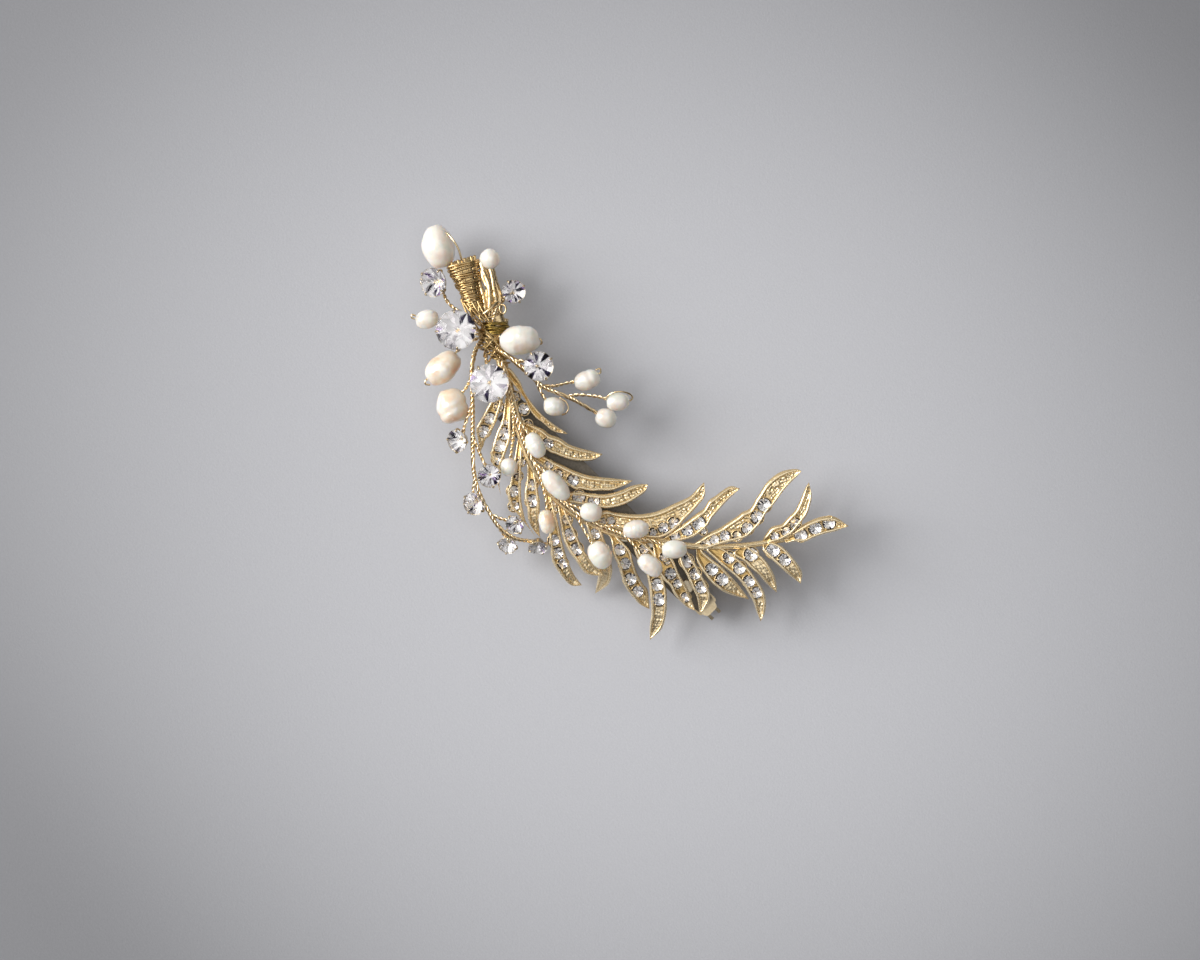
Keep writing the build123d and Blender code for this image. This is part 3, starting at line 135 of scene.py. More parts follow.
    "l2": dict(root=(-14.37, -3.50), tip=(-2.94, -16.83), z=(7.80, 6.00),
        a=[(-10.20, -6.91), (-9.07, -8.05), (-7.87, -10.39), (-7.30, -11.71), (-6.67, -12.97), (-5.53, -14.11), (-4.58, -15.56)],
        b=[(-12.35, -7.04), (-11.59, -9.06), (-10.65, -10.89), (-9.82, -12.34), (-9.26, -13.04)],
        stones=[(-11.59, -7.04, 0.42), (-10.26, -8.48, 1.00), (-9.32, -10.57, 1.00), (-7.99, -12.53, 0.91)]),
    "l1": dict(root=(-16.39, -2.49), tip=(-11.15, -13.92), z=(7.80, 6.20),
        a=[(-13.68, -6.47), (-12.60, -8.81), (-12.10, -10.32), (-11.97, -11.71), (-11.47, -12.72)],
        b=[(-16.01, -6.66), (-15.51, -8.43), (-15.00, -10.20), (-14.62, -11.33), (-13.36, -12.34)],
        stones=[(-14.37, -5.78, 0.71), (-14.12, -8.30, 0.91), (-13.29, -10.75, 1.00)]),
}
MIDRIB = [(-25.10, 5.97), (-23.59, 3.95), (-21.57, 1.42), (-17.65, -0.98), (-13.61, -3.25), (-8.81, -6.03), (-3.76, -8.55), (1.29, -9.82), (5.33, -10.07), (9.75, -9.44), (13.66, -8.30), (17.07, -6.66), (20.10, -4.64), (22.88, -2.37), (27.30, 0.79), (31.21, 4.45), (34.75, 8.49), (37.40, 12.15), (39.04, 14.30)]
PEARLS = {
    "pearls_cluster": [
        ((-42.403, 6.85, 8.4), (0.865, -0.501, 0.0), 7.9, 5.9),
        ((-26.367, -7.924, 8.8), (0.049, 0.999, 0.0), 7.1, 5.1),
        ((-20.432, -11.586, 8.6), (0.894, -0.447, 0.0), 6.4, 6.0),
        ((-20.116, 5.271, 11.6), (0.654, 0.757, 0.0), 7.2, 5.2),
    ],
    "pearls_small": [
        ((-34.195, 11.774, 9.6), (1.0, 0.0, 0.0), 3.75, 3.6),
        ((-34.574, -3.757, 8.4), (0.514, 0.857, 0.0), 4.3, 3.4),
    ],
    "pearls_spray": [
        ((-6.669, 8.744, 10.0), (0.477, 0.879, 0.0), 4.8, 3.7),
        ((0.024, 9.88, 10.5), (0.646, 0.763, 0.0), 4.3, 3.2),
        ((0.529, 6.345, 8.9), (0.88, 0.474, 0.0), 3.9, 3.5),
        ((-7.426, 1.168, 10.6), (0.804, 0.594, 0.0), 3.9, 3.5),
    ],
    "pearls_frond": [
        ((-4.964, -5.967, 11.9), (0.968, -0.249, 0.0), 5.0, 3.2),
        ((-5.469, -12.028, 11.1), (0.809, -0.588, 0.0), 3.3, 3.1),
        ((2.675, -8.429, 12.1), (0.998, -0.064, 0.0), 6.6, 3.4),
        ((6.211, -14.237, 11.3), (0.786, -0.618, 0.0), 4.5, 3.0),
        ((10.504, -7.419, 11.9), (0.818, 0.575, 0.0), 4.1, 3.4),
        ((18.333, -3.883, 12.0), (0.625, 0.781, 0.0), 4.8, 3.2),
        ((25.656, -1.61, 11.8), (0.651, 0.759, 0.0), 4.6, 3.4),
        ((17.07, -11.712, 11.6), (0.972, -0.236, 0.0), 5.1, 4.1),
        ((24.646, -6.661, 11.4), (0.991, 0.134, 0.0), 5.0, 3.4),
    ],
}
CRYSTALS = {
    "crystals_large": [
        (-29.271, -1.484, 13.0, 3.5, 4, -135.0),
        (-18.412, -4.009, 13.2, 3.4, 3, -45.0),
    ],
    "crystals_medium": [
        (-38.299, 1.61, 10.8, 2.6, 30, -118.3),
        (-14.371, 4.324, 13.1, 2.6, 6, 45.0),
    ],
    "crystals_small": [
        (-26.998, 10.638, 10.0, 2.05, 8, 45.0),
        (-15.381, -15.374, 9.6, 2.05, 38, -118.3),
        (-6.795, -15.626, 12.7, 2.05, 12, -90.0),
        (-5.28, -21.182, 9.0, 2.05, 28, -104.0),
        (2.549, -18.657, 11.0, 1.7, 30, -90.0),
        (4.191, -22.319, 7.6, 1.7, 40, -71.6),
        (8.358, -18.657, 8.2, 1.7, 52, -45.0),
    ],
}
WIRES = {
    "pearl_loop_wire": [
        (0.3, [(-35.584, 8.112, 9.0), (-37.226, 7.986, 10.0), (-39.246, 8.996, 10.6), (-41.266, 9.501, 10.6), (-43.034, 9.501, 9.6), (-43.413, 8.365, 8.6)]),
    ],
    "stem_strands": [
        (0.42, [(-34.574, 10.133, 9.2), (-32.554, 8.618, 9.6), (-30.028, 7.607, 9.8), (-27.756, 5.84, 9.6), (-25.862, 4.198, 9.3)]),
        (0.42, [(-33.817, 11.395, 9.4), (-30.66, 9.501, 9.4), (-28.008, 8.112, 9.2), (-26.114, 5.966, 9.1), (-25.104, 4.451, 9.0)]),
        (0.42, [(-34.069, 8.112, 8.0), (-30.028, 6.092, 7.9), (-27.756, 4.829, 8.0), (-25.988, 3.567, 8.2)]),
    ],
    "cluster_wires": [
        (0.36, [(-37.795, 2.547, 8.957), (-34.7, 1.168, 8.9), (-32.554, 1.041, 9.2), (-29.776, 1.799, 9.2), (-26.24, 2.304, 9.6)]),
        (0.36, [(-27.165, 10.471, 8.318), (-27.251, 8.112, 9.2), (-26.745, 5.84, 10.4), (-25.483, 3.567, 10.6)]),
        (0.36, [(-34.574, -3.757, 8.4), (-31.796, -2.747, 8.2), (-29.018, -0.474, 8.3), (-25.862, 1.925, 9.0)]),
        (0.36, [(-29.131, -1.344, 10.177), (-28.134, -0.853, 9.4), (-26.745, 0.284, 9.3), (-25.23, 1.546, 9.8)]),
        (0.36, [(-26.367, -7.924, 8.8), (-26.745, -4.262, 8.0), (-26.493, -1.484, 8.0), (-25.104, 1.42, 8.6)]),
        (0.36, [(-20.116, 5.271, 11.6), (-22.073, 3.946, 11.2), (-23.968, 2.557, 10.4)]),
        (0.36, [(-18.514, -3.907, 10.452), (-20.179, -2.747, 9.7), (-22.705, -0.726, 9.9), (-24.22, 1.294, 10.4)]),
    ],
    "garland_wires": [
        (0.42, [(-25.23, 1.294, 8.2), (-24.346, -1.863, 9.0), (-22.2, -4.767, 9.6), (-19.611, -7.229, 10.2), (-17.023, -9.692, 10.3), (-14.497, -12.217, 10.2), (-11.972, -14.742, 9.9), (-9.32, -17.141, 9.6), (-6.163, -19.036, 9.6), (-2.754, -20.172, 9.4), (0.781, -20.93, 9.1), (4.064, -20.424, 8.6), (6.211, -19.036, 7.8), (7.563, -17.862, 7.322)]),
        (0.36, [(-21.695, -5.272, 9.7), (-20.937, -7.545, 9.4), (-20.811, -9.692, 9.0), (-20.432, -11.586, 8.6)]),
        (0.36, [(-18.096, -8.745, 10.25), (-17.149, -10.828, 9.8), (-16.139, -12.848, 9.0), (-14.885, -14.453, 8.261)]),
        (0.36, [(-13.992, -12.722, 10.15), (-11.846, -13.606, 10.2), (-9.32, -14.616, 10.4), (-6.795, -15.273, 11.038)]),
        (0.36, [(-8.184, -18.025, 9.6), (-6.921, -19.793, 8.6), (-5.087, -20.408, 7.5)]),
        (0.36, [(-1.997, -20.424, 9.3), (0.15, -19.541, 9.3), (2.549, -17.944, 9.765)]),
        (0.36, [(0.15, -20.803, 9.1), (2.17, -21.308, 8.0), (3.902, -21.449, 6.508)]),
    ],
    "frond_wires": [
        (0.5, [(-23.841, 1.673, 9.4), (-20.811, 0.663, 10.0), (-17.401, -0.979, 10.2), (-13.613, -3.252, 10.3), (-8.815, -6.03, 10.3), (-4.269, -8.05, 10.3), (0.908, -9.439, 10.3), (5.58, -9.818, 10.3), (10.378, -9.06, 10.3), (14.797, -7.419, 10.3), (18.838, -5.398, 10.3), (21.868, -3.378, 10.4), (24.52, -1.989, 11.0), (25.656, -1.61, 11.8)]),
        (0.36, [(-12.982, -3.631, 10.3), (-9.573, -6.787, 10.6), (-7.3, -9.565, 11.0), (-5.469, -12.028, 11.4)]),
        (0.36, [(-11.088, -4.767, 10.3), (-8.058, -5.272, 11.2), (-4.964, -5.967, 11.9)]),
        (0.36, [(-3.512, -8.303, 10.3), (-0.86, -8.176, 11.2), (2.675, -8.429, 12.1)]),
        (0.36, [(-1.492, -8.808, 10.3), (1.792, -10.575, 10.8), (4.191, -12.217, 11.0), (6.211, -14.237, 11.3)]),
        (0.36, [(5.075, -9.818, 10.3), (7.221, -8.934, 11.0), (10.504, -7.419, 11.9)]),
        (0.36, [(8.484, -9.439, 10.3), (11.514, -10.449, 10.7), (14.545, -11.207, 11.1), (17.07, -11.712, 11.6)]),
        (0.36, [(13.408, -8.05, 10.3), (15.429, -6.03, 11.1), (18.333, -3.883, 12.0)]),
        (0.36, [(16.818, -6.409, 10.3), (19.848, -6.156, 10.6), (22.247, -6.535, 10.9), (24.646, -6.661, 11.4)]),
    ],
    "spray_wires": [
        (0.45, [(-23.336, 1.673, 9.8), (-21.316, 1.42, 10.6), (-18.917, 1.799, 10.7), (-16.139, 2.052, 10.6), (-13.487, 2.178, 10.6), (-10.962, 2.43, 10.5), (-8.31, 3.567, 10.4), (-5.785, 4.577, 10.2), (-2.628, 5.461, 9.6), (0.529, 6.345, 8.9)]),
        (0.36, [(-11.593, 2.304, 10.5), (-9.952, 3.946, 10.4), (-8.689, 5.966, 10.3), (-6.669, 8.744, 10.0)]),
        (0.36, [(-7.237, 4.009, 10.3), (-5.658, 5.966, 10.2), (-3.133, 7.986, 10.3), (0.024, 9.88, 10.5)]),
        (0.36, [(-12.982, 2.178, 10.6), (-10.962, 1.42, 10.6), (-9.32, 1.041, 10.6), (-7.426, 1.168, 10.6)]),
        (0.36, [(-18.285, 1.925, 10.7), (-16.644, 3.314, 10.6), (-14.528, 4.167, 10.984)]),
    ],
}
TAIL = [(-37.352, 7.86), (-29.334, 3.504)]
TAIL_Z = 9.0
BINDINGS = {
    "dark_binding": (-24.851, 3.693, 8.9, -45.0, 6, 0.42, 2.45, 1.45),
    "gold_binding": (-23.968, 1.546, 9.4, -56.3, 7, 0.34, 2.0, 1.0),
}
SOLDER = [(-10.2, -5.2, 6.35), (17.6, -5.95, 7.15), (21.6, -3.6, 7.0)]
EXTRA = {'coil_cross': [(0.17, [(-25.483, 1.041, 10.6), (-23.589, 0.915, 11.4), (-21.442, 1.041, 11.0), (-19.296, 1.42, 10.3)]),
                (0.17, [(-23.589, 3.44, 10.6), (-23.462, 1.546, 11.4), (-23.21, -0.221, 10.9), (-22.579, -1.358, 10.0)]),
                (0.16, [(-25.23, 1.799, 11.0), (-23.336, 1.925, 11.4), (-21.19, 1.799, 10.9), (-19.043, 2.178, 10.1), (-16.77, 2.935, 9.9)]),
                (0.16, [(-25.23, 0.284, 10.0), (-23.21, 0.031, 10.9), (-20.937, 0.284, 10.6), (-18.412, 0.536, 9.8)]),
                (0.16, [(-22.831, 3.188, 10.4), (-21.947, 1.799, 11.0), (-21.695, 0.031, 10.7), (-21.316, -1.358, 9.6)])],
 'coil_pad': [(-22.705, 0.536, 9.5, 8, 1.9),
              (-22.2, 0.536, 9.5, -14, 1.85),
              (-21.695, 0.536, 9.5, 16, 1.75),
              (-21.063, 0.41, 9.4, -6, 1.6),
              (-20.432, 0.536, 9.4, 12, 1.45),
              (-19.674, 0.536, 9.3, -12, 1.25)],
 'pearl_ends': [(0.17, [(-7.805, 3.062, 10.6), (-6.542, 3.314, 10.7), (-5.469, 2.872, 10.6), (-5.09, 1.988, 10.4), (-5.406, 1.168, 10.0)]),
                (0.17, [(-1.997, 8.618, 10.9), (-1.87, 10.006, 11.6), (-0.986, 11.395, 11.9), (0.403, 12.279, 11.4), (1.35, 12.216, 10.8), (1.413, 11.522, 10.4)]),
                (0.17, [(-36.342, -4.767, 9.7), (-36.91, -5.083, 9.8), (-36.594, -5.525, 9.7), (-36.089, -5.272, 9.6)]),
                (0.17, [(-26.619, -10.954, 9.0), (-26.998, -11.586, 9.3), (-26.556, -12.154, 9.2), (-25.862, -11.712, 9.0)]),
                (0.17, [(-18.159, 7.607, 11.8), (-17.528, 7.986, 12.0), (-16.896, 7.607, 11.8), (-17.275, 6.976, 11.5)]),
                (0.17, [(-6.795, 11.143, 10.4), (-6.416, 11.774, 10.4), (-5.848, 11.332, 10.2), (-6.163, 10.764, 10.1)])],
 'stem_bars': [(0.36, [(-34.827, 10.133, 9.3), (-32.806, 9.123, 9.8), (-31.039, 8.365, 10.0), (-29.018, 6.597, 10.0), (-26.745, 4.072, 9.6)]),
               (0.34, [(-33.564, 8.112, 9.2), (-31.67, 6.976, 9.5), (-30.028, 6.092, 9.6), (-27.251, 3.819, 9.5)]),
               (0.36, [(-34.069, 11.143, 9.1), (-31.922, 10.006, 9.6), (-30.028, 8.618, 9.8), (-28.261, 7.355, 9.8), (-25.483, 5.082, 9.4)]),
               (0.32, [(-34.448, 10.512, 8.8), (-31.796, 8.87, 9.3), (-30.028, 6.85, 9.4), (-26.998, 4.072, 9.2)]),
               (0.32, [(-33.059, 11.143, 8.7), (-30.534, 9.628, 9.1), (-28.387, 7.986, 9.2), (-25.23, 5.84, 9.2)])],
 'stem_block': [(0.62, [(-28.324, 6.534, 9.1), (-26.872, 5.713, 9.3), (-25.609, 4.956, 9.3), (-24.473, 4.324, 9.3)])],
 'stem_cross': [(0.34, [(-28.008, 3.567, 10.1), (-27.882, 4.451, 10.5), (-27.756, 5.84, 10.6), (-27.756, 7.355, 10.1)]),
                (0.17, [(-26.998, 7.355, 10.1), (-26.367, 7.734, 10.3), (-25.609, 7.229, 10.3), (-25.609, 6.471, 10.2), (-26.367, 6.471, 10.1), (-26.998, 7.102, 10.1)]),
                (0.22, [(-28.261, 3.062, 9.9), (-27.377, 3.44, 10.3), (-26.619, 4.703, 10.4), (-25.988, 6.092, 10.0)])],
 'tail_leads': [(0.2, [(-31.922, 2.935, 9.5), (-29.523, 2.557, 9.9), (-26.998, 2.557, 10.2), (-24.725, 2.304, 10.4)]),
                (0.18, [(-31.291, 3.314, 10.1), (-29.271, 3.062, 10.5), (-26.998, 3.062, 10.8)]),
                (0.18, [(-31.039, 4.072, 10.3), (-29.018, 3.567, 10.6), (-26.619, 3.44, 10.8)]),
                (0.18, [(-30.66, 4.956, 10.1), (-28.766, 4.324, 10.4), (-26.24, 3.819, 10.8)]),
                (0.2, [(-32.806, 3.062, 9.2), (-30.281, 2.052, 9.4), (-27.503, 1.546, 9.8), (-24.978, 1.041, 10.0)]),
                (0.18, [(-31.039, 3.567, 10.0), (-29.902, 2.683, 10.2), (-28.261, 1.799, 10.2), (-26.114, 1.168, 10.4)]),
                (0.18, [(-30.281, 5.335, 9.9), (-29.145, 3.946, 10.4), (-27.503, 2.809, 10.8)])]}
SHIFT = (0.15, 0.41)


# ====================================================================== helpers
class Build:
    """Collects vertices (mm), faces, material numbers and one value per vertex."""

    def __init__(self):
        self.v, self.f, self.m, self.a = [], [], [], []
        self.smooth = []

    def add(self, verts, faces, mat=0, attr=0.0, smooth=True):
        n = len(self.v)
        verts = [tuple(map(float, p)) for p in verts]
        self.v += verts
        self.f += [tuple(i + n for i in q) for q in faces]
        self.m += ([mat] * len(faces)) if isinstance(mat, int) else list(mat)
        self.a += ([attr] * len(verts)) if isinstance(attr, (int, float)) else list(attr)
        self.smooth += [smooth] * len(faces)

    def make(self, name, mats, nodes=(), slot=None, body=ROOT):
        me = bpy.data.meshes.new(name)
        me.from_pydata([(x * MM, y * MM, z * MM) for x, y, z in self.v], [], self.f)
        for m in mats:
            me.materials.append(m)
        me.polygons.foreach_set("material_index", self.m)
        me.polygons.foreach_set("use_smooth", self.smooth)
        at = me.attributes.new("tone", "FLOAT", "POINT")
        at.data.foreach_set("value", self.a)
        me.validate()
        me.update()
        ob = bpy.data.objects.new(name, me)
        bpy.context.scene.collection.objects.link(ob)
        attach(ob, body)
        if nodes:
            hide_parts(*nodes)
        return ob


def unit(v):
    return v / (np.linalg.norm(v) + 1e-12)


def catmull(pts, n):
    """n points evenly spaced along a smooth curve through pts."""
    p = np.array(pts, float)
    p = np.vstack([2 * p[0] - p[1], p, 2 * p[-1] - p[-2]])
    out = []
    t = np.linspace(0, 1, 24, endpoint=False)[:, None]
    for i in range(1, len(p) - 2):
        p0, p1, p2, p3 = p[i - 1:i + 3]
        out.append(0.5 * (2 * p1 + (p2 - p0) * t + (2 * p0 - 5 * p1 + 4 * p2 - p3) * t ** 2
                          + (3 * p1 - p0 - 3 * p2 + p3) * t ** 3))
    out.append(p[-2][None])
    c = np.vstack(out)
    d = np.r_[0, np.cumsum(np.linalg.norm(np.diff(c, axis=0), axis=1))]
    s = np.linspace(0, d[-1], n)
    return np.stack([np.interp(s, d, c[:, k]) for k in range(c.shape[1])], 1)


def length(c):
    return float(np.linalg.norm(np.diff(c, axis=0), axis=1).sum())


def frames(c):
    """Tangent and two normals along a curve, carried without twist."""
    t = np.gradient(c, axis=0)
    t /= np.linalg.norm(t, axis=1)[:, None] + 1e-12
    ref = np.array([0, 0, 1.0]) if abs(t[0][2]) < 0.9 else np.array([1.0, 0, 0])
    u = unit(np.cross(t[0], ref))
    us = [u]
    for i in range(1, len(c)):
        u = us[-1] - t[i] * np.dot(us[-1], t[i])
        us.append(unit(u))
    us = np.array(us)
    return t, us, np.cross(t, us)


def tube(b, c, r, sides=8, mat=0, attr=0.0, ends=True, flat=None):
    """A round (or flattened) tube along the points of c. r is one radius or one a point."""
    t, u, w = frames(c)
    n = len(c)
    r = np.full(n, r, float) if np.isscalar(r) else np.asarray(r, float)
    ang = np.linspace(0, 2 * math.pi, sides, endpoint=False)
    fu, fw = flat or (1.0, 1.0)
    ring = (c[:, None, :] + (r[:, None] * np.cos(ang)[None] * fu)[..., None] * u[:, None, :]
            + (r[:, None] * np.sin(ang)[None] * fw)[..., None] * w[:, None, :])
    verts = ring.reshape(-1, 3)
    faces = []
    for i in range(n - 1):
        for k in range(sides):
            a, q = i * sides + k, i * sides + (k + 1) % sides
            faces.append((a, q, q + sides, a + sides))
    verts = list(map(tuple, verts))
    if ends:
        for i, s in ((0, -1), (n - 1, 1)):
            verts.append(tuple(c[i] + t[i] * r[i] * 0.6 * s))
            m = len(verts) - 1
            for k in range(sides):
                a, q = i * sides + k, i * sides + (k + 1) % sides
                faces.append((q, a, m) if s < 0 else (a, q, m))
    b.add(verts, faces, mat, attr)


def twist(b, pts, strands=2, rs=0.17, rh=0.17, pitch=2.0, phase=0.0, mat=0, taper=0.0, step=0.13):
    """Strands of craft wire twisted together by hand along a route."""
    rough = catmull(pts, 60)
    total = length(rough)
    n = max(12, int(total / step))
    c = catmull(pts, n)
    t, u, w = frames(c)
    s = np.linspace(0, total, n)
    seed = phase * 7.3 + pts[0][0]
    wob = np.array([noise.noise(Vector((x * 0.35, seed, 0))) for x in s])
    wob2 = np.array([noise.noise(Vector((x * 0.6, seed, 9))) for x in s])
    ang = 2 * math.pi * s / pitch + phase + wob * 2.2
    rad = rh * (1 + 0.35 * wob2) * (1 - taper * s / total)
    for k in range(strands):
        a = ang + 2 * math.pi * k / strands
        p = c + (rad * np.cos(a))[:, None] * u + (rad * np.sin(a))[:, None] * w
        tube(b, p, rs, 8, mat)


def lathe(b, origin, axes, profile, seg=32, mat=0, attr=0.0, wave=None, close=False, smooth=True):
    """Turn a profile of (radius, height) points about a local axis."""
    o = np.array(origin, float)
    ex, ey, ez = (np.array(a, float) for a in axes)
    verts = []
    for i, (r, h) in enumerate(profile):
        for k in range(seg):
            th = 2 * math.pi * k / seg
            rr, hh = (r, h) if wave is None else wave(i, th, r, h)
            verts.append(o + ex * rr * math.cos(th) + ey * rr * math.sin(th) + ez * hh)
    faces = []
    m = len(profile)
    for i in range(m if close else m - 1):
        j = (i + 1) % m
        for k in range(seg):
            q = (k + 1) % seg
            faces.append((i * seg + k, i * seg + q, j * seg + q, j * seg + k))
    b.add(verts, faces, mat, attr, smooth)


def blob(b, centre, axes, r, squash=1.0, mat=0, attr=0.0, rings=5, seg=10):
    """A small rounded bead, flattened along its third axis."""
    o = np.array(centre, float)
    ex, ey, ez = (np.array(a, float) for a in axes)
    verts, faces = [o + ez * r * squash], []
    for i in range(1, rings):
        ph = math.pi * i / rings
        for k in range(seg):
            th = 2 * math.pi * k / seg
            verts.append(o + (ex * math.cos(th) + ey * math.sin(th)) * r * math.sin(ph) + ez * r * squash * math.cos(ph))
    verts.append(o - ez * r * squash)
    last = len(verts) - 1
    for k in range(seg):
        q = (k + 1) % seg
        faces.append((0, 1 + k, 1 + q))
        for i in range(rings - 2):
            faces.append((1 + i * seg + k, 1 + (i + 1) * seg + k, 1 + (i + 1) * seg + q, 1 + i * seg + q))
        faces.append((1 + (rings - 2) * seg + k, last, 1 + (rings - 2) * seg + q))
    b.add(verts, faces, mat, attr)


def brilliant(b, origin, axes, r, crown=0.30, pav=0.5, table=0.56, turn=0.0, girdle=0.07, pick=None):
    """A brilliant-cut stone: table, star, kite and girdle facets over a foiled pavilion.
    Facets share their corners and are shaded flat."""
    o = np.array(origin, float)
    ex, ey, ez = (np.array(a, float) for a in axes)

    def P(rad, deg, h):
        th = math.radians(deg + turn)
        return o + (ex * math.cos(th) + ey * math.sin(th)) * rad * r + ez * h * r

    g0, g1, hc = 0.0, girdle, girdle + crown
    T = [P(table, 45 * k, hc) for k in range(8)]
    S = [P(table + (1 - table) * 0.47, 45 * k + 22.5, girdle + crown * 0.58) for k in range(8)]
    G1 = [P(1, 22.5 * k, g1) for k in range(16)]
    G0 = [P(1, 22.5 * k, g0) for k in range(16)]
    M = [P(0.60, 45 * k + 22.5, -pav * 0.41) for k in range(8)]
    N = [P(0.27, 45 * k, -pav * 0.76) for k in range(8)]
    C = o - ez * pav * r
    top, bot, core = [], [], []

    def facet(store, *p):
        store.append(p)

    facet(top, *T)
    for k in range(8):
        n = (k + 1) % 8
        facet(top, T[k], S[k], T[n])
        facet(top, T[k], S[k - 1], G1[2 * k], S[k])
        facet(top, S[k], G1[2 * k], G1[2 * k + 1])
        facet(top, S[k], G1[2 * k + 1], G1[(2 * k + 2) % 16])
    for k in range(16):
        n = (k + 1) % 16
        facet(top, G1[k], G0[k], G0[n], G1[n])
    for k in range(8):
        facet(bot, G0[2 * k], M[k - 1], N[k])
        facet(bot, G0[2 * k], N[k], M[k])
        facet(bot, G0[2 * k], M[k], G0[2 * k + 1])
        facet(bot, G0[2 * k + 1], M[k], G0[(2 * k + 2) % 16])
        facet(core, M[k], N[k], N[(k + 1) % 8])
        facet(core, N[k], C, N[(k + 1) % 8])
    ctr = o + ez * 0.05 * r
    verts, index, faces, mat, attr = [], {}, [], [], []

    def vid(p):
        key = tuple(np.round(p, 5))
        if key not in index:
            index[key] = len(verts)
            verts.append(p)
            attr.append(0.0)
        return index[key]

    for store, m in ((top, 0), (bot, 1), (core, 2)):
        for p in store:
            if store is not top:
                m = pick(store is core)
            q = [vid(x) for x in p]
            a = np.array(p)
            nrm = np.cross(a[1] - a[0], a[2] - a[1])
            if np.dot(nrm, a.mean(0) - ctr) < 0:
                q = q[::-1]
            faces.append(tuple(q))
            mat.append(m)
    b.add(verts, faces, mat, attr, smooth=False)


# ====================================================================== materials
def node_mat(name):
    m = bpy.data.materials.new(name)
    m.use_nodes = True
    nt = m.node_tree
    bsdf = nt.nodes["Principled BSDF"]
    return m, nt, bsdf


def new(nt, kind, **kw):
    n = nt.nodes.new(kind)
    for k, v in kw.items():
        setattr(n, k, v)
    return n


def coords(nt, scale=1000.0):
    """Object coordinates in millimetres."""
    tc = new(nt, "ShaderNodeTexCoord")
    mp = new(nt, "ShaderNodeMapping")
    mp.inputs["Scale"].default_value = (scale, scale, scale)
    nt.links.new(tc.outputs["Object"], mp.inputs["Vector"])
    return mp.outputs["Vector"]


def noise_node(nt, vec, scale, detail=3.0, rough=0.55):
    n = new(nt, "ShaderNodeTexNoise")
    n.inputs["Scale"].default_value = scale
    n.inputs["Detail"].default_value = detail
    n.inputs["Roughness"].default_value = rough
    nt.links.new(vec, n.inputs["Vector"])
    return n.outputs["Fac"]


def ramp(nt, fac, stops):
    r = new(nt, "ShaderNodeValToRGB")
    e = r.color_ramp.elements
    e[0].position, e[0].color = stops[0][0], (*stops[0][1], 1)
    e[1].position, e[1].color = stops[-1][0], (*stops[-1][1], 1)
    for p, c in stops[1:-1]:
        x = e.new(p)
        x.color = (*c, 1)
    nt.links.new(fac, r.inputs["Fac"])
    return r.outputs["Color"]


def math_node(nt, op, a, b):
    n = new(nt, "ShaderNodeMath", operation=op)
    for i, v in enumerate((a, b)):
        if isinstance(v, (int, float)):
            n.inputs[i].default_value = v
        else:
            nt.links.new(v, n.inputs[i])
    return n.outputs[0]


def mix_col(nt, fac, a, b, mode="MIX"):
    n = new(nt, "ShaderNodeMix", data_type="RGBA", blend_type=mode)
    for key, v in (("Factor", fac), ("A", a), ("B", b)):
        sock = [s for s in n.inputs if s.name == key and (s.type == "RGBA") == (key != "Factor") and s.enabled][0]
        if isinstance(v, (int, float)):
            sock.default_value = v
        elif isinstance(v, tuple):
            sock.default_value = (*v, 1)
        else:
            nt.links.new(v, sock)
    return [s for s in n.outputs if s.type == "RGBA" and s.enabled][0]


def bump(nt, bsdf, height, strength, distance):
    n = new(nt, "ShaderNodeBump")
    n.inputs["Strength"].default_value = strength
    n.inputs["Distance"].default_value = distance
    nt.links.new(height, n.inputs["Height"])
    nt.links.new(n.outputs["Normal"], bsdf.inputs["Normal"])


def gold(name, light, deep, rough=(0.16, 0.34), grain=5.0, relief=0.00003, dirt=0.5, tone=True, metal=1.0):
    """Plated gold with broad random blotches; the per-vertex tone paints shade into recesses and a highlight on crests
    and rims, with fine polishing marks.
    """
    m, nt, bsdf = node_mat(name)
    vec = coords(nt)
    broad = noise_node(nt, vec, 0.55, 3)
    fine = noise_node(nt, vec, grain, 4, 0.6)
    fac = math_node(nt, "MULTIPLY", broad, dirt)
    if tone:
        at = new(nt, "ShaderNodeAttribute", attribute_name="tone")
        # tone attribute: high values paint shade, low values paint a highlight, broken up by fine noise
        recess_shade_tone = math_node(nt, "MULTIPLY", at.outputs["Fac"], math_node(nt, "ADD", 0.62, math_node(nt, "MULTIPLY", fine, 0.6)))
        fac = math_node(nt, "ADD", math_node(nt, "MULTIPLY", fac, 0.55), recess_shade_tone)
    col = ramp(nt, fac, [(0.12, light), (0.5, tuple((a + b) / 2 for a, b in zip(light, deep))), (0.95, deep)])
    nt.links.new(col, bsdf.inputs["Base Color"])
    bsdf.inputs["Metallic"].default_value = metal
    rr = new(nt, "ShaderNodeMapRange")
    rr.inputs["From Min"].default_value = 0.3
    rr.inputs["From Max"].default_value = 0.7
    rr.inputs["To Min"].default_value = rough[0]
    rr.inputs["To Max"].default_value = rough[1]
    nt.links.new(fine, rr.inputs["Value"])
    nt.links.new(rr.outputs["Result"], bsdf.inputs["Roughness"])
    bump(nt, bsdf, fine, 0.55, relief)
    return m


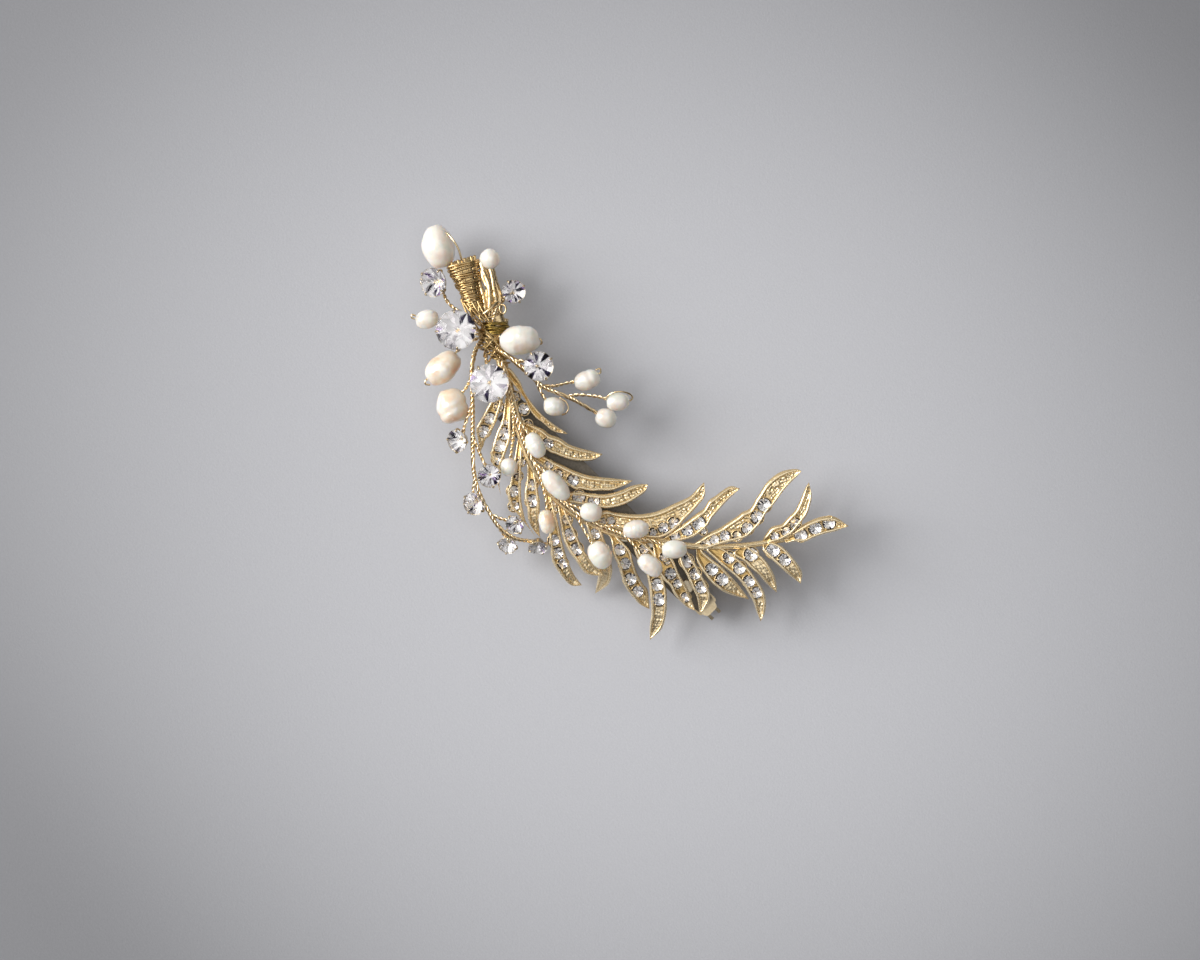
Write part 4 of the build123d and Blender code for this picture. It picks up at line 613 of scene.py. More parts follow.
M_FROND = gold("gold_casting", (0.98, 0.82, 0.55), (0.60, 0.40, 0.15), (0.16, 0.34), 4.5, 0.00003, metal=0.74)
M_WIRE = gold("gold_wire", (0.94, 0.79, 0.55), (0.74, 0.54, 0.28), (0.12, 0.26), 2.2, 0.00001, 0.8, tone=False)
M_WRAP = gold("gold_fine_wire", (0.77, 0.58, 0.31), (0.42, 0.27, 0.10), (0.16, 0.30), 3.0, 0.00001, 0.9, tone=False)
# near-black gold for the dark binding's wire: painted shade
M_SHADED_WIRE = gold("aged_wire", (0.62, 0.43, 0.12), (0.07, 0.045, 0.012), (0.14, 0.34), 1.5, 0.00002, 1.2, tone=False)
M_CUP = gold("setting_gold", (0.80, 0.70, 0.52), (0.46, 0.35, 0.20), (0.14, 0.30), 3.0, 0.00001, 0.9, tone=False)
# the coil's gold is set darker than the other wires: painted shade
M_COIL = gold("gold_coil", (0.60, 0.44, 0.21), (0.30, 0.19, 0.07), (0.18, 0.32), 3.0, 0.00001, 0.9, tone=False)
M_STEM = gold("gold_stem", (0.84, 0.68, 0.43), (0.50, 0.34, 0.15), (0.14, 0.32), 3.2, 0.00004, 0.9, tone=False)
M_CLIP = gold("clip_steel", (0.60, 0.50, 0.34), (0.40, 0.32, 0.20), (0.24, 0.40), 3.5, 0.00002, 0.8, tone=False)
M_SPRING = gold("spring_steel", (0.58, 0.50, 0.36), (0.40, 0.33, 0.22), (0.22, 0.36), 3.5, 0.00002, 0.8, tone=False)
M_PIN = gold("pin_steel", (0.46, 0.40, 0.30), (0.30, 0.26, 0.19), (0.20, 0.36), 3.5, 0.00002, 0.8, tone=False)
M_SOLDER = gold("solder", (0.72, 0.68, 0.58), (0.46, 0.42, 0.34), (0.28, 0.46), 2.0, 0.00005, 0.9, tone=False)


def seat_shadow_paint():
    # painted shade: near-black brown for the ring at the bottom of each stone seat
    m, nt, bsdf = node_mat("seat_shadow")
    vec = coords(nt)
    nt.links.new(ramp(nt, noise_node(nt, vec, 2.5), [(0.3, (0.035, 0.022, 0.010)), (0.7, (0.11, 0.07, 0.03))]),
                 bsdf.inputs["Base Color"])
    bsdf.inputs["Metallic"].default_value = 0.6
    bsdf.inputs["Roughness"].default_value = 0.55
    return m


def nacre(name, a, b, c):
    """Nacre: cream with soft pink and green-grey overtones, glossy with a satin body."""
    m, nt, bsdf = node_mat(name)
    vec = coords(nt)
    col = ramp(nt, noise_node(nt, vec, 0.42, 2, 0.5), [(0.36, a), (0.52, b), (0.66, c)])
    fine = noise_node(nt, vec, 1.6, 3, 0.5)
    col = mix_col(nt, math_node(nt, "MULTIPLY", fine, 0.25), col, (0.92, 0.90, 0.87))
    nt.links.new(col, bsdf.inputs["Base Color"])
    bsdf.inputs["Roughness"].default_value = 0.30
    bsdf.inputs["Specular IOR Level"].default_value = 0.65
    bsdf.inputs["Coat Weight"].default_value = 0.85
    bsdf.inputs["Coat IOR"].default_value = 1.65
    bsdf.inputs["Coat Roughness"].default_value = 0.09
    bsdf.inputs["Subsurface Weight"].default_value = 0.95
    bsdf.inputs["Subsurface Radius"].default_value = (1.0, 0.8, 0.6)
    bsdf.inputs["Subsurface Scale"].default_value = 0.0034
    bump(nt, bsdf, noise_node(nt, vec, 0.9, 3, 0.5), 0.45, 0.00016)
    return m


def crystal_glass(name, part):
    m, nt, bsdf = node_mat(name)
    vec = coords(nt)
    nt.links.new(ramp(nt, noise_node(nt, vec, 0.2, 1), [(0.3, (0.97, 0.97, 1.0)), (0.7, (1.0, 0.985, 0.995))]),
                 bsdf.inputs["Base Color"])
    bsdf.inputs["Transmission Weight"].default_value = 1.0
    bsdf.inputs["IOR"].default_value = 1.62
    bsdf.inputs["Roughness"].default_value = 0.0
    clear = new(nt, "ShaderNodeBsdfTransparent")
    mix = new(nt, "ShaderNodeMixShader")
    mix.inputs[0].default_value = part
    out = next(n for n in nt.nodes if n.type == "OUTPUT_MATERIAL")
    nt.links.new(clear.outputs[0], mix.inputs[1])
    nt.links.new(bsdf.outputs[0], mix.inputs[2])
    nt.links.new(mix.outputs[0], out.inputs["Surface"])
    return m


def foil(name, a, c, metal=1.0, rough=0.05):
    """Foil behind a facet, in two tones by noise. Mirror facets differ in the part of the room that they catch; the
    pale, grey, lilac and dark foils are painted reflection and the white, half-diffuse foil a painted highlight.
    """
    m, nt, bsdf = node_mat(name)
    vec = coords(nt)
    nt.links.new(ramp(nt, noise_node(nt, vec, 0.8, 1), [(0.40, a), (0.60, c)]), bsdf.inputs["Base Color"])
    bsdf.inputs["Metallic"].default_value = metal
    bsdf.inputs["Roughness"].default_value = rough
    return m


M_DARK = seat_shadow_paint()
M_PEARL = nacre("freshwater_pearl", (0.78, 0.66, 0.58), (0.84, 0.79, 0.72), (0.73, 0.73, 0.65))
M_PEACH = nacre("freshwater_pearl_peach", (0.78, 0.55, 0.38), (0.84, 0.72, 0.59), (0.84, 0.79, 0.73))
M_GLASS = crystal_glass("crystal", 0.58)
M_CHIP = crystal_glass("crystal_chip", 0.20)
# only the silver foil is a plain mirror; the other foils paint reflection and highlight facet by facet
FOILS = [foil("crystal_foil_silver", (0.99, 0.98, 0.98), (0.96, 0.94, 0.95), 0.85, 0.06),
         foil("crystal_foil_pale", (0.82, 0.80, 0.81), (0.72, 0.70, 0.72), 0.75, 0.08),
         foil("crystal_foil_grey", (0.62, 0.60, 0.62), (0.49, 0.47, 0.50), 0.7, 0.08),
         foil("crystal_foil_lilac", (0.50, 0.36, 0.68), (0.30, 0.20, 0.42)),
         foil("crystal_foil_dark", (0.045, 0.035, 0.08), (0.02, 0.02, 0.035)),
         foil("crystal_foil_bright", (1.0, 1.0, 1.0), (0.98, 0.97, 0.98), 0.30, 0.20)]

# ====================================================================== frond
LEAF_T = 1.1


class Leaf:
    """One crescent blade between its two traced edges, as a surface with raised rims."""

    def __init__(self, name, d):
        self.name, self.d = name, d
        root, tip = np.array(d["root"]), np.array(d["tip"])
        e = unit(tip - root)
        perp = np.array([-e[1], e[0]])
        a0, b0 = np.array(d["a"][0]), np.array(d["b"][0])
        sa = 1 if np.dot(a0 - root, perp) > np.dot(b0 - root, perp) else -1
        if sa < 0:
            # keep edge A on the same hand in every leaf
            d = dict(d, a=d["b"], b=d["a"])
        ra, rb = root + perp * 0.5, root - perp * 0.5
        ca = catmull([tuple(ra)] + d["a"] + [tuple(tip)], 80)
        cb = catmull([tuple(rb)] + d["b"] + [tuple(tip)], 80)
        self.len = (length(ca) + length(cb)) / 2
        self.n = n = max(40, int(self.len / 0.15))
        self.A = catmull([tuple(ra)] + d["a"] + [tuple(tip)], n)
        self.B = catmull([tuple(rb)] + d["b"] + [tuple(tip)], n)
        self.c = (self.A + self.B) / 2
        w = self.B - self.A
        self.w = np.linalg.norm(w, axis=1)
        self.e = w / (self.w[:, None] + 1e-9)
        for i in range(1, n):
            if self.w[i] < 0.12:
                self.e[i] = self.e[i - 1]
        self.f = np.linspace(0, 1, n)
        z0, z1 = d["z"]
        power = 2.2 if name == "d9" else 1.5
        r = random.Random(name)
        arch = 0.35 + 0.25 * r.random()
        self.z = z0 + (z1 - z0) * self.f ** power + arch * np.sin(math.pi * np.clip(self.f * 1.1, 0, 1)) * (0.4 if name == "d9" else 1)
        self.roll = (0.10 + 0.10 * r.random()) * (1 if name[0] == "u" else -1) * self.f
        self.T = LEAF_T * np.minimum(1 - 0.42 * self.f ** 2.5, 0.45 + 0.62 * self.w / 2)
        wide = (0.84, 0.50) if name[0] == "u" else (0.52, 0.52)
        self.rim = np.minimum(wide[0], 0.30 * self.w), np.minimum(wide[1], 0.23 * self.w)
        self.grain = 0.21 if name[0] == "u" else 0.10
        self.depth = 0.46 * np.minimum(1, self.w / 1.7)
        self.seats = [(x, y, q) for x, y, q in d["stones"]]
        # the texture starts past the last stone
        far = 0.0
        for x, y, q in d["stones"]:
            i, _ = self.locate(x, y)
            far = max(far, self.f[i] + (q + 0.25) / self.len)
        self.tex = far if d["stones"] else 0.3

    def locate(self, x, y):
        p = np.array([x, y])
        i = int(np.argmin(np.linalg.norm(self.c - p, axis=1)))
        return i, float(np.dot(p - self.c[i], self.e[i]))

    def at(self, x, y, h=0.0):
        """A point h above the recess floor over plan position x, y, and its axes."""
        i, off = self.locate(x, y)
        j0, j1 = max(i - 2, 0), min(i + 2, self.n - 1)
        t = np.array([*(self.c[j1] - self.c[j0]), self.z[j1] - self.z[j0]])
        t = unit(t)
        s = unit(np.array([*self.e[i], -self.roll[i]]))
        nrm = unit(np.cross(s, t))
        if nrm[2] < 0:
            nrm = -nrm
        z = self.z[i] + self.T[i] - self.depth[i] - self.roll[i] * off
        s = unit(np.cross(t, nrm))
        return np.array([x, y, z]) + nrm * h, (t, s, nrm), i

    def mesh(self, b):
        K = 15
        cells = {}
        seed = random.Random("beads" + self.name)

        def bead(u, v):
            """Irregular rows of cast grain."""
            size = 0.50
            cu, cv = math.floor(u / size), math.floor(v / size)
            best = 0.0
            for du in (-1, 0, 1):
                for dv in (-1, 0, 1):
                    key = (cu + du, cv + dv)
                    if key not in cells:
                        cells[key] = (seed.random(), seed.random(), 0.7 + 0.5 * seed.random())
                    jx, jy, k = cells[key]
                    dx = u - (key[0] + 0.25 + 0.5 * jx) * size
                    dy = v - (key[1] + 0.25 + 0.5 * jy) * size
                    q = 1 - (dx * dx + dy * dy) / (0.27 * k) ** 2
                    if q > 0:
                        best = max(best, self.grain * k * math.sqrt(q))
            return best

        verts, tone = [], []
        pos = np.r_[0, np.cumsum(np.linalg.norm(np.diff(self.c, axis=0), axis=1))]
        last = self.n - 1
        for i in range(last):
            W, T, w, wb, dep, f = self.w[i], self.T[i], self.rim[0][i], self.rim[1][i], self.depth[i], self.f[i]
            tx = min(1.0, max(0.0, (f - self.tex) / 0.04)) * min(1.0, (1 - f) / 0.06)
            # profile points are (offset, height, tone); tone 0 on the rim crests is a painted highlight, 0.95 at the
            # rim's inner foot is painted shade
            def side(w, upper=False):
                if upper and self.name[0] == "u":
                    return [(0.06 * w, 0.16 * T, 0.6), (0.0, 0.40 * T, 0.4), (0.10 * w, 0.60 * T, 0.45), (0.30 * w, 0.78 * T, 0.5),
                            (0.52 * w, 0.93 * T, 0.25), (0.74 * w, T, 0.0), (0.92 * w, T - 0.18 * dep, 0.1), (1.08 * w, T - 0.88 * dep, 0.95)]
                return [(0.10 * w, 0.20 * T, 0.5), (0.0, 0.46 * T, 0.15), (0.03 * w, 0.74 * T, 0.0), (0.16 * w, 0.90 * T, 0.0),
                        (0.42 * w, 0.985 * T, 0.0), (0.72 * w, T, 0.0), (0.92 * w, T - 0.18 * dep, 0.1), (1.08 * w, T - 0.88 * dep, 0.95)]

            row = side(w, True)
            right = [(W - o, z, a) for o, z, a in side(wb)[::-1]]
            inner = []
            i0, i1 = 1.08 * w, W - 1.08 * wb
            for k in range(1, K + 1):
                o = i0 + (i1 - i0) * k / (K + 1)
                z = T - dep
                # tone 1 paints shade on the recess floor and in the stone seats; bead tops get lower tone, a painted
                # highlight
                a = 1.0
                g = 0.05 * noise.noise(Vector((pos[i] * 1.6, o * 2.2, self.d["z"][0])))
                if tx > 0:
                    q = bead(pos[i], o) * tx
                    z += q
                    a = (0.66 if self.name[0] == "u" else 0.20) - 4.6 * q
                elif self.name[0] == "u" and W > 2.1:
                    px, py = self.A[i] + self.e[i] * o
                    gap = min([math.hypot(px - sx, py - sy) - sr for sx, sy, sr in self.seats] + [9.0])
                    q = 0.8 * bead(pos[i], o) * min(1.0, max(0.0, (gap - 0.30) / 0.15))
                    z += q
                    a = 0.78 - 4.6 * q
                edge = min(o - i0, i1 - o)
                z += g + 0.10 * max(0.0, 1 - edge / 0.25)
                px, py = self.A[i] + self.e[i] * o
                for sx, sy, sr in self.seats:
                    if (px - sx) ** 2 + (py - sy) ** 2 < (sr + 0.08) ** 2:
                        z = min(z, T - dep - 0.42)
                        a = 1.0
                inner.append((o, z, max(0.05, a)))
            # gently hammered rims
            hm = 0.035 * noise.noise(Vector((pos[i] * 1.1, 3.0, self.d["z"][1] + self.A[0][0])))
            prof = [(o, z + (hm if 1 < k < 6 else 0), a) for k, (o, z, a) in enumerate(row)] + inner + \
                   [(o, z + (hm if 1 < k < 6 else 0), a) for k, (o, z, a) in enumerate(right)]
            prof += [(0.80 * W, 0.06 * T, 0.6), (0.5 * W, 0.0, 0.6), (0.20 * W, 0.06 * T, 0.6)]
            for o, z, a in prof:
                p = self.A[i] + self.e[i] * o
                verts.append((p[0], p[1], self.z[i] + z - self.roll[i] * (o - W / 2)))
                tone.append(a)
        M = len(prof)
        tip = (*self.c[last], self.z[last] + 0.5 * self.T[last])
        verts.append(tip)
        tone.append(0.1)
        faces = []
        for i in range(last - 1):
            for k in range(M):
                q = (k + 1) % M
                faces.append((i * M + k, (i + 1) * M + k, (i + 1) * M + q, i * M + q))
        base = (last - 1) * M
        for k in range(M):
            faces.append((base + k, len(verts) - 1, base + (k + 1) % M))
        faces.append(tuple(range(M)))
        b.add(verts, faces, 0, tone)


leaves = {n: Leaf(n, d) for n, d in LEAVES.items()}
frond = Build()
for lf in leaves.values():
    lf.mesh(frond)

# Spine: a tapered, ridged rod.
rib = catmull([(x, y) for x, y in MIDRIB], 260)
t2 = np.gradient(rib, axis=0)
t2 /= np.linalg.norm(t2, axis=1)[:, None]
nn = np.stack([-t2[:, 1], t2[:, 0]], 1)
shape = [(-1.0, 0.10), (-0.96, 0.45), (-0.80, 0.72), (-0.52, 0.84), (-0.36, 0.80), (-0.20, 0.95), (0.0, 1.0),
         (0.20, 0.95), (0.36, 0.80), (0.52, 0.84), (0.80, 0.72), (0.96, 0.45), (1.0, 0.10), (0.6, 0.0), (0.0, -0.04), (-0.6, 0.0)]
verts, tone = [], []
for i, p in enumerate(rib):
    f = i / (len(rib) - 1)
    hw = (1.0 - 0.5 * f) * (1 + 0.05 * noise.noise(Vector((i * 0.12, 0, 0))))
    hh = 1.45 * (1 - 0.25 * f) * (1 + 0.04 * noise.noise(Vector((i * 0.15, 5, 0))))
    for sx, sz in shape:
        verts.append((p[0] + nn[i][0] * sx * hw, p[1] + nn[i][1] * sx * hw, 7.75 + sz * hh + 0.35 * f))
        # tone on the spine: 0.1 on the top ridge is a painted highlight, 0.55 on the shoulders is painted shade
        tone.append(0.55 if sz in (0.80, 0.72) else (0.1 if sz > 0.9 else 0.4))
faces = []
M = len(shape)
for i in range(len(rib) - 1):
    for k in range(M):
        q = (k + 1) % M
        faces.append((i * M + k, i * M + q, (i + 1) * M + q, (i + 1) * M + k))
faces.append(tuple(range(M))[::-1])
faces.append(tuple(range((len(rib) - 1) * M, len(rib) * M)))
frond.add(verts, faces, 0, tone)

# Stones, their seats and grains. The grains and rims of the seats belong to the casting.
pave = Build()
for lf in leaves.values():
    r = random.Random("st" + lf.name)
    for x, y, q in lf.d["stones"]:
        o, (ex, ey, ez), i = lf.at(x, y)
        sa = r.uniform(0, 2 * math.pi)
        sx, sy = 0.08 * math.cos(sa), 0.08 * math.sin(sa)
        so = o + ex * sx + ey * sy + ez * 0.22
        R = q * 1.07
        # pave pavilion facets take foils at random: painted reflection and highlight
        brilliant(pave, so, (ex, ey, ez), R, crown=0.34, pav=min(0.70, 0.58 / R), table=0.52, turn=r.uniform(0, 45), girdle=0.07,
                  pick=lambda mid: r.choices((1, 6, 2, 3, 5), (20, 60, 13, 4, 3) if mid else (20, 54, 12, 6, 8))[0])
        # seat rims at tone 0.25, prong tops at 0.05 (painted highlight), prong feet at 0.3
        lathe(frond, o, (ex, ey, ez), [(R + 0.34, -0.10), (R + 0.32, 0.10), (R + 0.26, 0.17), (R + 0.20, 0.14), (R + 0.18, 0.05)],
              20, 0, 0.25)
        # dark ring in the seat_shadow material under each stone: painted shade in the gap between stone and seat
        lathe(frond, o, (ex, ey, ez), [(R + 0.20, 0.07), (R - 0.10, 0.05)], 20, 1, 1.0)
        a0 = r.uniform(-0.25, 0.25)
        for k in range(4):
            th = math.pi / 4 + k * math.pi / 2 + a0
            pc = so + (ex * math.cos(th) + ey * math.sin(th)) * (R + 0.03) + ez * 0.10
            blob(frond, pc, (ex, ey, ez), 0.13 + 0.05 * r.random(), 0.8, 0, 0.05)
            foot = so + (ex * math.cos(th) + ey * math.sin(th)) * (R + 0.12) - ez * 0.12
            blob(frond, foot, (ex, ey, ez), 0.15, 1.3, 0, 0.3)
pave.make("pave_stones", [M_CHIP] + FOILS, ("pave_stones_large", "pave_stones_medium", "pave_stones_small"), "crystal")
frond.make("frond_casting", [M_FROND, M_DARK], ("cast_frond",), "gold_casting")


# ====================================================================== crystals
def facing(tilt, toward):
    t, h = math.radians(tilt), math.radians(toward)
    n = np.array([math.sin(t) * math.cos(h), math.sin(t) * math.sin(h), math.cos(t)])
    x = np.array([-math.sin(h), math.cos(h), 0.0])
    return x, np.cross(n, x), n


for group, items in CRYSTALS.items():
    stones, cups = Build(), Build()
    rc = random.Random(group)
    for x, y, z, r, tilt, toward in items:
        ax = facing(tilt, toward)
        o = np.array([x, y, z])
        # crystal pavilion facets take foils at random: painted reflection and highlight
        brilliant(stones, o, ax, r * 1.03, crown=0.27, pav=0.86, table=0.50, turn=rc.uniform(0, 45), girdle=0.05,
                  pick=lambda mid: rc.choices((1, 6, 2, 3, 4, 5), (32, 44, 12, 5, 2, 5) if mid else (32, 36, 8, 5, 5, 14))[0])
        d = 0.82 * r
        prof = [(0.02, -d - 0.3), (0.45 * r, -d - 0.28), (0.52 * r, -d - 0.18), (0.86 * r, -0.34 * r), (r + 0.02, -0.10 * r),
                (r + 0.02, -0.03 * r), (r - 0.08, -0.03 * r), (0.78 * r, -0.34 * r), (0.46 * r, -d - 0.05), (0.02, -d - 0.06)]
        lathe(cups, o, ax, prof, 48, 0, 0.0)
        ex, ey, ez = (np.array(a) for a in ax)
        a0 = rc.uniform(0, math.pi / 2)
        for k in range(4):
            th = a0 + k * math.pi / 2
            d2 = ex * math.cos(th) + ey * math.sin(th)
            claw = [o + d2 * (0.90 * r) - ez * 0.34 * r, o + d2 * (r + 0.10) - ez * 0.06 * r, o + d2 * (r + 0.10) + ez * 0.06 * r,
                    o + d2 * (0.97 * r) + ez * 0.15 * r, o + d2 * (0.88 * r) + ez * 0.21 * r]
            tube(cups, catmull(claw, 16), np.linspace(0.24, 0.17, 16) * (0.75 + 0.1 * r), 8)
    stones.make(group, [M_GLASS] + FOILS, (group,), "crystal")
    cups.make(group.replace("crystals", "settings"), [M_CUP], (group.replace("crystals", "settings"),), "setting_gold")


# ====================================================================== pearls
def pearl(b, centre, axis, L, D, kind, seed, mat=0):
    """A freshwater pearl about its drilled axis, with the growth of its kind."""
    ez = unit(np.array(axis, float))
    ref = np.array([0, 0, 1.0]) if abs(ez[2]) < 0.9 else np.array([1.0, 0, 0])
    ex = unit(np.cross(ref, ez))
    ey = np.cross(ez, ex)
    o = np.array(centre, float)
    rings, seg = 64, 48
    verts = []
    for i in range(rings + 1):
        ph = math.pi * i / rings
        t = -math.cos(ph)
        for k in range(seg):
            th = 2 * math.pi * k / seg
            rad = math.sin(ph) ** (0.86 if kind != "drop" else 0.95) * D / 2
            ln = t * L / 2
            if kind == "drop":
                rad *= 1 + 0.10 * t
            if kind == "ridged":
                w2 = 1 - t * t
                rad *= 1 + (0.013 * math.sin(t * 11 + seed + 0.9 * math.cos(th)) + 0.007 * math.sin(t * 21 + seed * 2 + math.sin(th))) * w2
            if kind == "ring":
                rad *= 1 - 0.030 * math.exp(-((t - 0.28 + 0.09 * math.cos(th)) / 0.13) ** 2) - 0.02 * math.exp(-((t + 0.45) / 0.12) ** 2)
            if kind == "lobed":
                rad *= 1 - 0.075 * math.exp(-((t - 0.20 + 0.14 * math.cos(th)) / 0.18) ** 2)
                rad *= 1 + 0.05 * t
            d = ex * math.cos(th) + ey * math.sin(th)
            p = d * rad + ez * ln
            k2 = 0.03 if kind in ("drop", "round") else 0.055
            g = noise.noise(Vector((p[0] * 0.33 + seed * 3.1, p[1] * 0.33, p[2] * 0.33)))
            g2 = noise.noise(Vector((p[0] * 1.1 + seed, p[1] * 1.1, p[2] * 1.1)))
            p = p * (1 + k2 * g * 2.0 + 0.012 * g2)
            if abs(t) > 0.965:
                p = p - ez * math.copysign(1, t) * (abs(t) - 0.965) / 0.035 * 0.22
            verts.append(o + p)
    # close the two poles with one vertex each
    keep = [v for v in verts]
    p0 = np.mean(verts[:seg], axis=0)
    p1 = np.mean(verts[-seg:], axis=0)
    out, fo = [p0], []
    for i in range(1, rings):
        out += keep[i * seg:(i + 1) * seg]
    out.append(p1)
    e = len(out) - 1
    for k in range(seg):
        q = (k + 1) % seg
        fo.append((0, 1 + q, 1 + k))
        for i in range(rings - 2):
            fo.append((1 + i * seg + k, 1 + i * seg + q, 1 + (i + 1) * seg + q, 1 + (i + 1) * seg + k))
        fo.append((1 + (rings - 2) * seg + k, 1 + (rings - 2) * seg + q, e))
    b.add(out, fo, mat)
    return o, ez


KINDS = {"pearls_cluster": ["drop", "ring", "lobed", "ridged"], "pearls_small": ["round", "round"],
         "pearls_spray": ["lobed", "round", "round", "ring"],
         "pearls_frond": ["ridged", "round", "ridged", "ring", "round", "ridged", "round", "ridged", "ridged"]}
SLOTS = {"pearls_cluster": [0, 1, 1, 0], "pearls_small": [0, 0], "pearls_spray": [0, 0, 0, 0],
         "pearls_frond": [0, 0, 0, 1, 0, 0, 0, 0, 0]}
for group, items in PEARLS.items():
    b = Build()
    for k, (centre, axis, L, D) in enumerate(items):
        pearl(b, centre, axis, L, D, KINDS[group][k], k * 1.7 + len(group), SLOTS[group][k])
    b.make(group, [M_PEARL, M_PEACH], (group,), "freshwater_pearl")

# ====================================================================== wires
for name, items in WIRES.items():
    b = Build()
    for k, (r, pts) in enumerate(items):
        if name == "pearl_loop_wire":
            tube(b, catmull(pts, 90), 0.20, 10)
        elif name == "stem_strands":
            continue
        elif r > 0.4:
            twist(b, pts, 3, 0.19, 0.25 * r / 0.42, 2.9, k, taper=0.2)
        else:
            twist(b, pts, 2, 0.17, 0.17, 2.0, k * 1.3)
    if name != "stem_strands":
        b.make(name, [M_WIRE], (name,), "gold_wire")

# ---------------------------------------------------------------------- stem end
tail0, tail1 = np.array([*TAIL[0], TAIL_Z]), np.array([*TAIL[1], TAIL_Z])
tdir = unit(tail1 - tail0)
tside = unit(np.cross([0, 0, 1.0], tdir))
tlen = float(np.linalg.norm(tail1 - tail0))


def tail_size(f):
    return 2.75 - 1.55 * f, 1.15 - 0.15 * f


b = Build()
rb = random.Random(5)
for k in range(9):
    s = (k / 8) * 2 - 1
    pts = []
    for f in (-0.05, 0.15, 0.35, 0.6, 0.85, 1.06):
        a, h = tail_size(f)
        z = 0.55 * h * math.sqrt(max(0.05, 1 - s * s)) * (1 if k % 2 else -0.6)
        pts.append(tail0 + tdir * tlen * f + tside * s * a * 0.86 + np.array([0, 0, z + rb.uniform(-0.08, 0.08)]))
    tube(b, catmull(pts, 50), 0.30, 8)
# closed body under the strands
ring = []
for f in np.linspace(-0.03, 1.04, 14):
    a, h = tail_size(f)
    ring.append([tail0 + tdir * tlen * f + tside * a * 0.84 * math.cos(t) + np.array([0, 0, h * 0.78 * math.sin(t)])
                 for t in np.linspace(0, 2 * math.pi, 24, endpoint=False)])
verts = [p for q in ring for p in q]
faces = []
for i in range(13):
    for k in range(24):
        q = (k + 1) % 24
        faces.append((i * 24 + k, i * 24 + q, (i + 1) * 24 + q, (i + 1) * 24 + k))
faces += [tuple(range(24))[::-1], tuple(range(13 * 24, 14 * 24))]
b.add(verts, faces, 0)
b.make("tail_bundle", [M_WRAP], ("tail_bundle",), "gold_wire")

b = Build()
turns, per = 15.6, 40
path = []
for i in range(int(turns * per)):
    f = i / (turns * per)
    th = 2 * math.pi * i / per
    turn = i // per
    a, h = tail_size(f)
    jig = 0.009 * math.sin(turn * 2.1 + 1) + 0.010 * math.sin(th * 2 + turn * 1.7)
    path.append(tail0 + tdir * tlen * (0.02 + 0.93 * f + jig + 0.018 * math.cos(th)) + tside * (a + 0.12) * math.cos(th)
                + np.array([0, 0, (h + 0.10 + 0.06 * math.sin(turn * 2.7)) * math.sin(th)]))
tube(b, np.array(path), 0.20, 8)
# a second, looser layer crossing the first
path = []
for i in range(int(3.5 * per)):
    f = i / (3.5 * per)
    th = -2 * math.pi * i / per + 0.6
    a, h = tail_size(0.05 + 0.9 * f)
    path.append(tail0 + tdir * tlen * (0.06 + 0.84 * f + 0.06 * math.sin(th)) + tside * (a + 0.30) * math.cos(th)
                + np.array([0, 0, (h + 0.33) * math.sin(th)]))
tube(b, np.array(path), 0.15, 8)
path = []
for i in range(int(2.5 * per)):
    f = i / (2.5 * per)
    th = 2 * math.pi * i / per + 2.0
    a, h = tail_size(0.1 + 0.85 * f)
    path.append(tail0 + tdir * tlen * (0.14 + 0.74 * f + 0.09 * math.cos(th)) + tside * (a + 0.42) * math.cos(th)
                + np.array([0, 0, (h + 0.46) * math.sin(th)]))
tube(b, np.array(path), 0.14, 8)
b.make("tail_wrap", [M_WRAP], ("tail_wrap",), "gold_wire")

# Cast stem: three hammered bars side by side, running down into the binding.
b = Build()
for k, (r, pts) in enumerate(WIRES["stem_strands"]):
    c = catmull(pts, 90)
    rad = np.array([0.40 * (1 + 0.16 * noise.noise(Vector((i * 0.16, k * 4.0, 0)))) for i in range(90)])
    tube(b, c, rad, 10, flat=(1.3, 0.9))
b.make("stem_strands", [M_STEM], ("stem_strands",), "gold_casting")


# Wires that leave the wrap for the bindings, and the twists that cross the stem.
b = Build()
for r, pts in EXTRA["tail_leads"]:
    tube(b, catmull(pts, 40), r, 8)
b.make("tail_leads", [M_WRAP])
b = Build()
for r, pts in EXTRA["stem_bars"]:
    c = catmull(pts, 110)
    rad = np.array([r * (1 + 0.20 * noise.noise(Vector((i * 0.13, pts[0][0] * 3.0, 0)))) for i in range(110)])
    tube(b, c, rad, 10, flat=(1.15, 0.95))
for r, pts in EXTRA["stem_block"]:
    c = catmull(pts, 60)
    rad = np.array([r * (1 + 0.07 * noise.noise(Vector((i * 0.2, 7.0, 0)))) for i in range(60)])
    tube(b, c, rad, 16, flat=(2.2, 0.85))
for r, pts in EXTRA["stem_cross"]:
    tube(b, catmull(pts, 40), r, 10)
b.make("stem_details", [M_STEM])
b = Build()
for r, pts in EXTRA["pearl_ends"]:
    tube(b, catmull(pts, 40), r, 8)
b.make("pearl_wire_ends", [M_WIRE])
b = Build()
for r, pts in EXTRA["coil_cross"]:
    tube(b, catmull(pts, 40), r, 8)
b.make("coil_crossings", [M_WRAP])


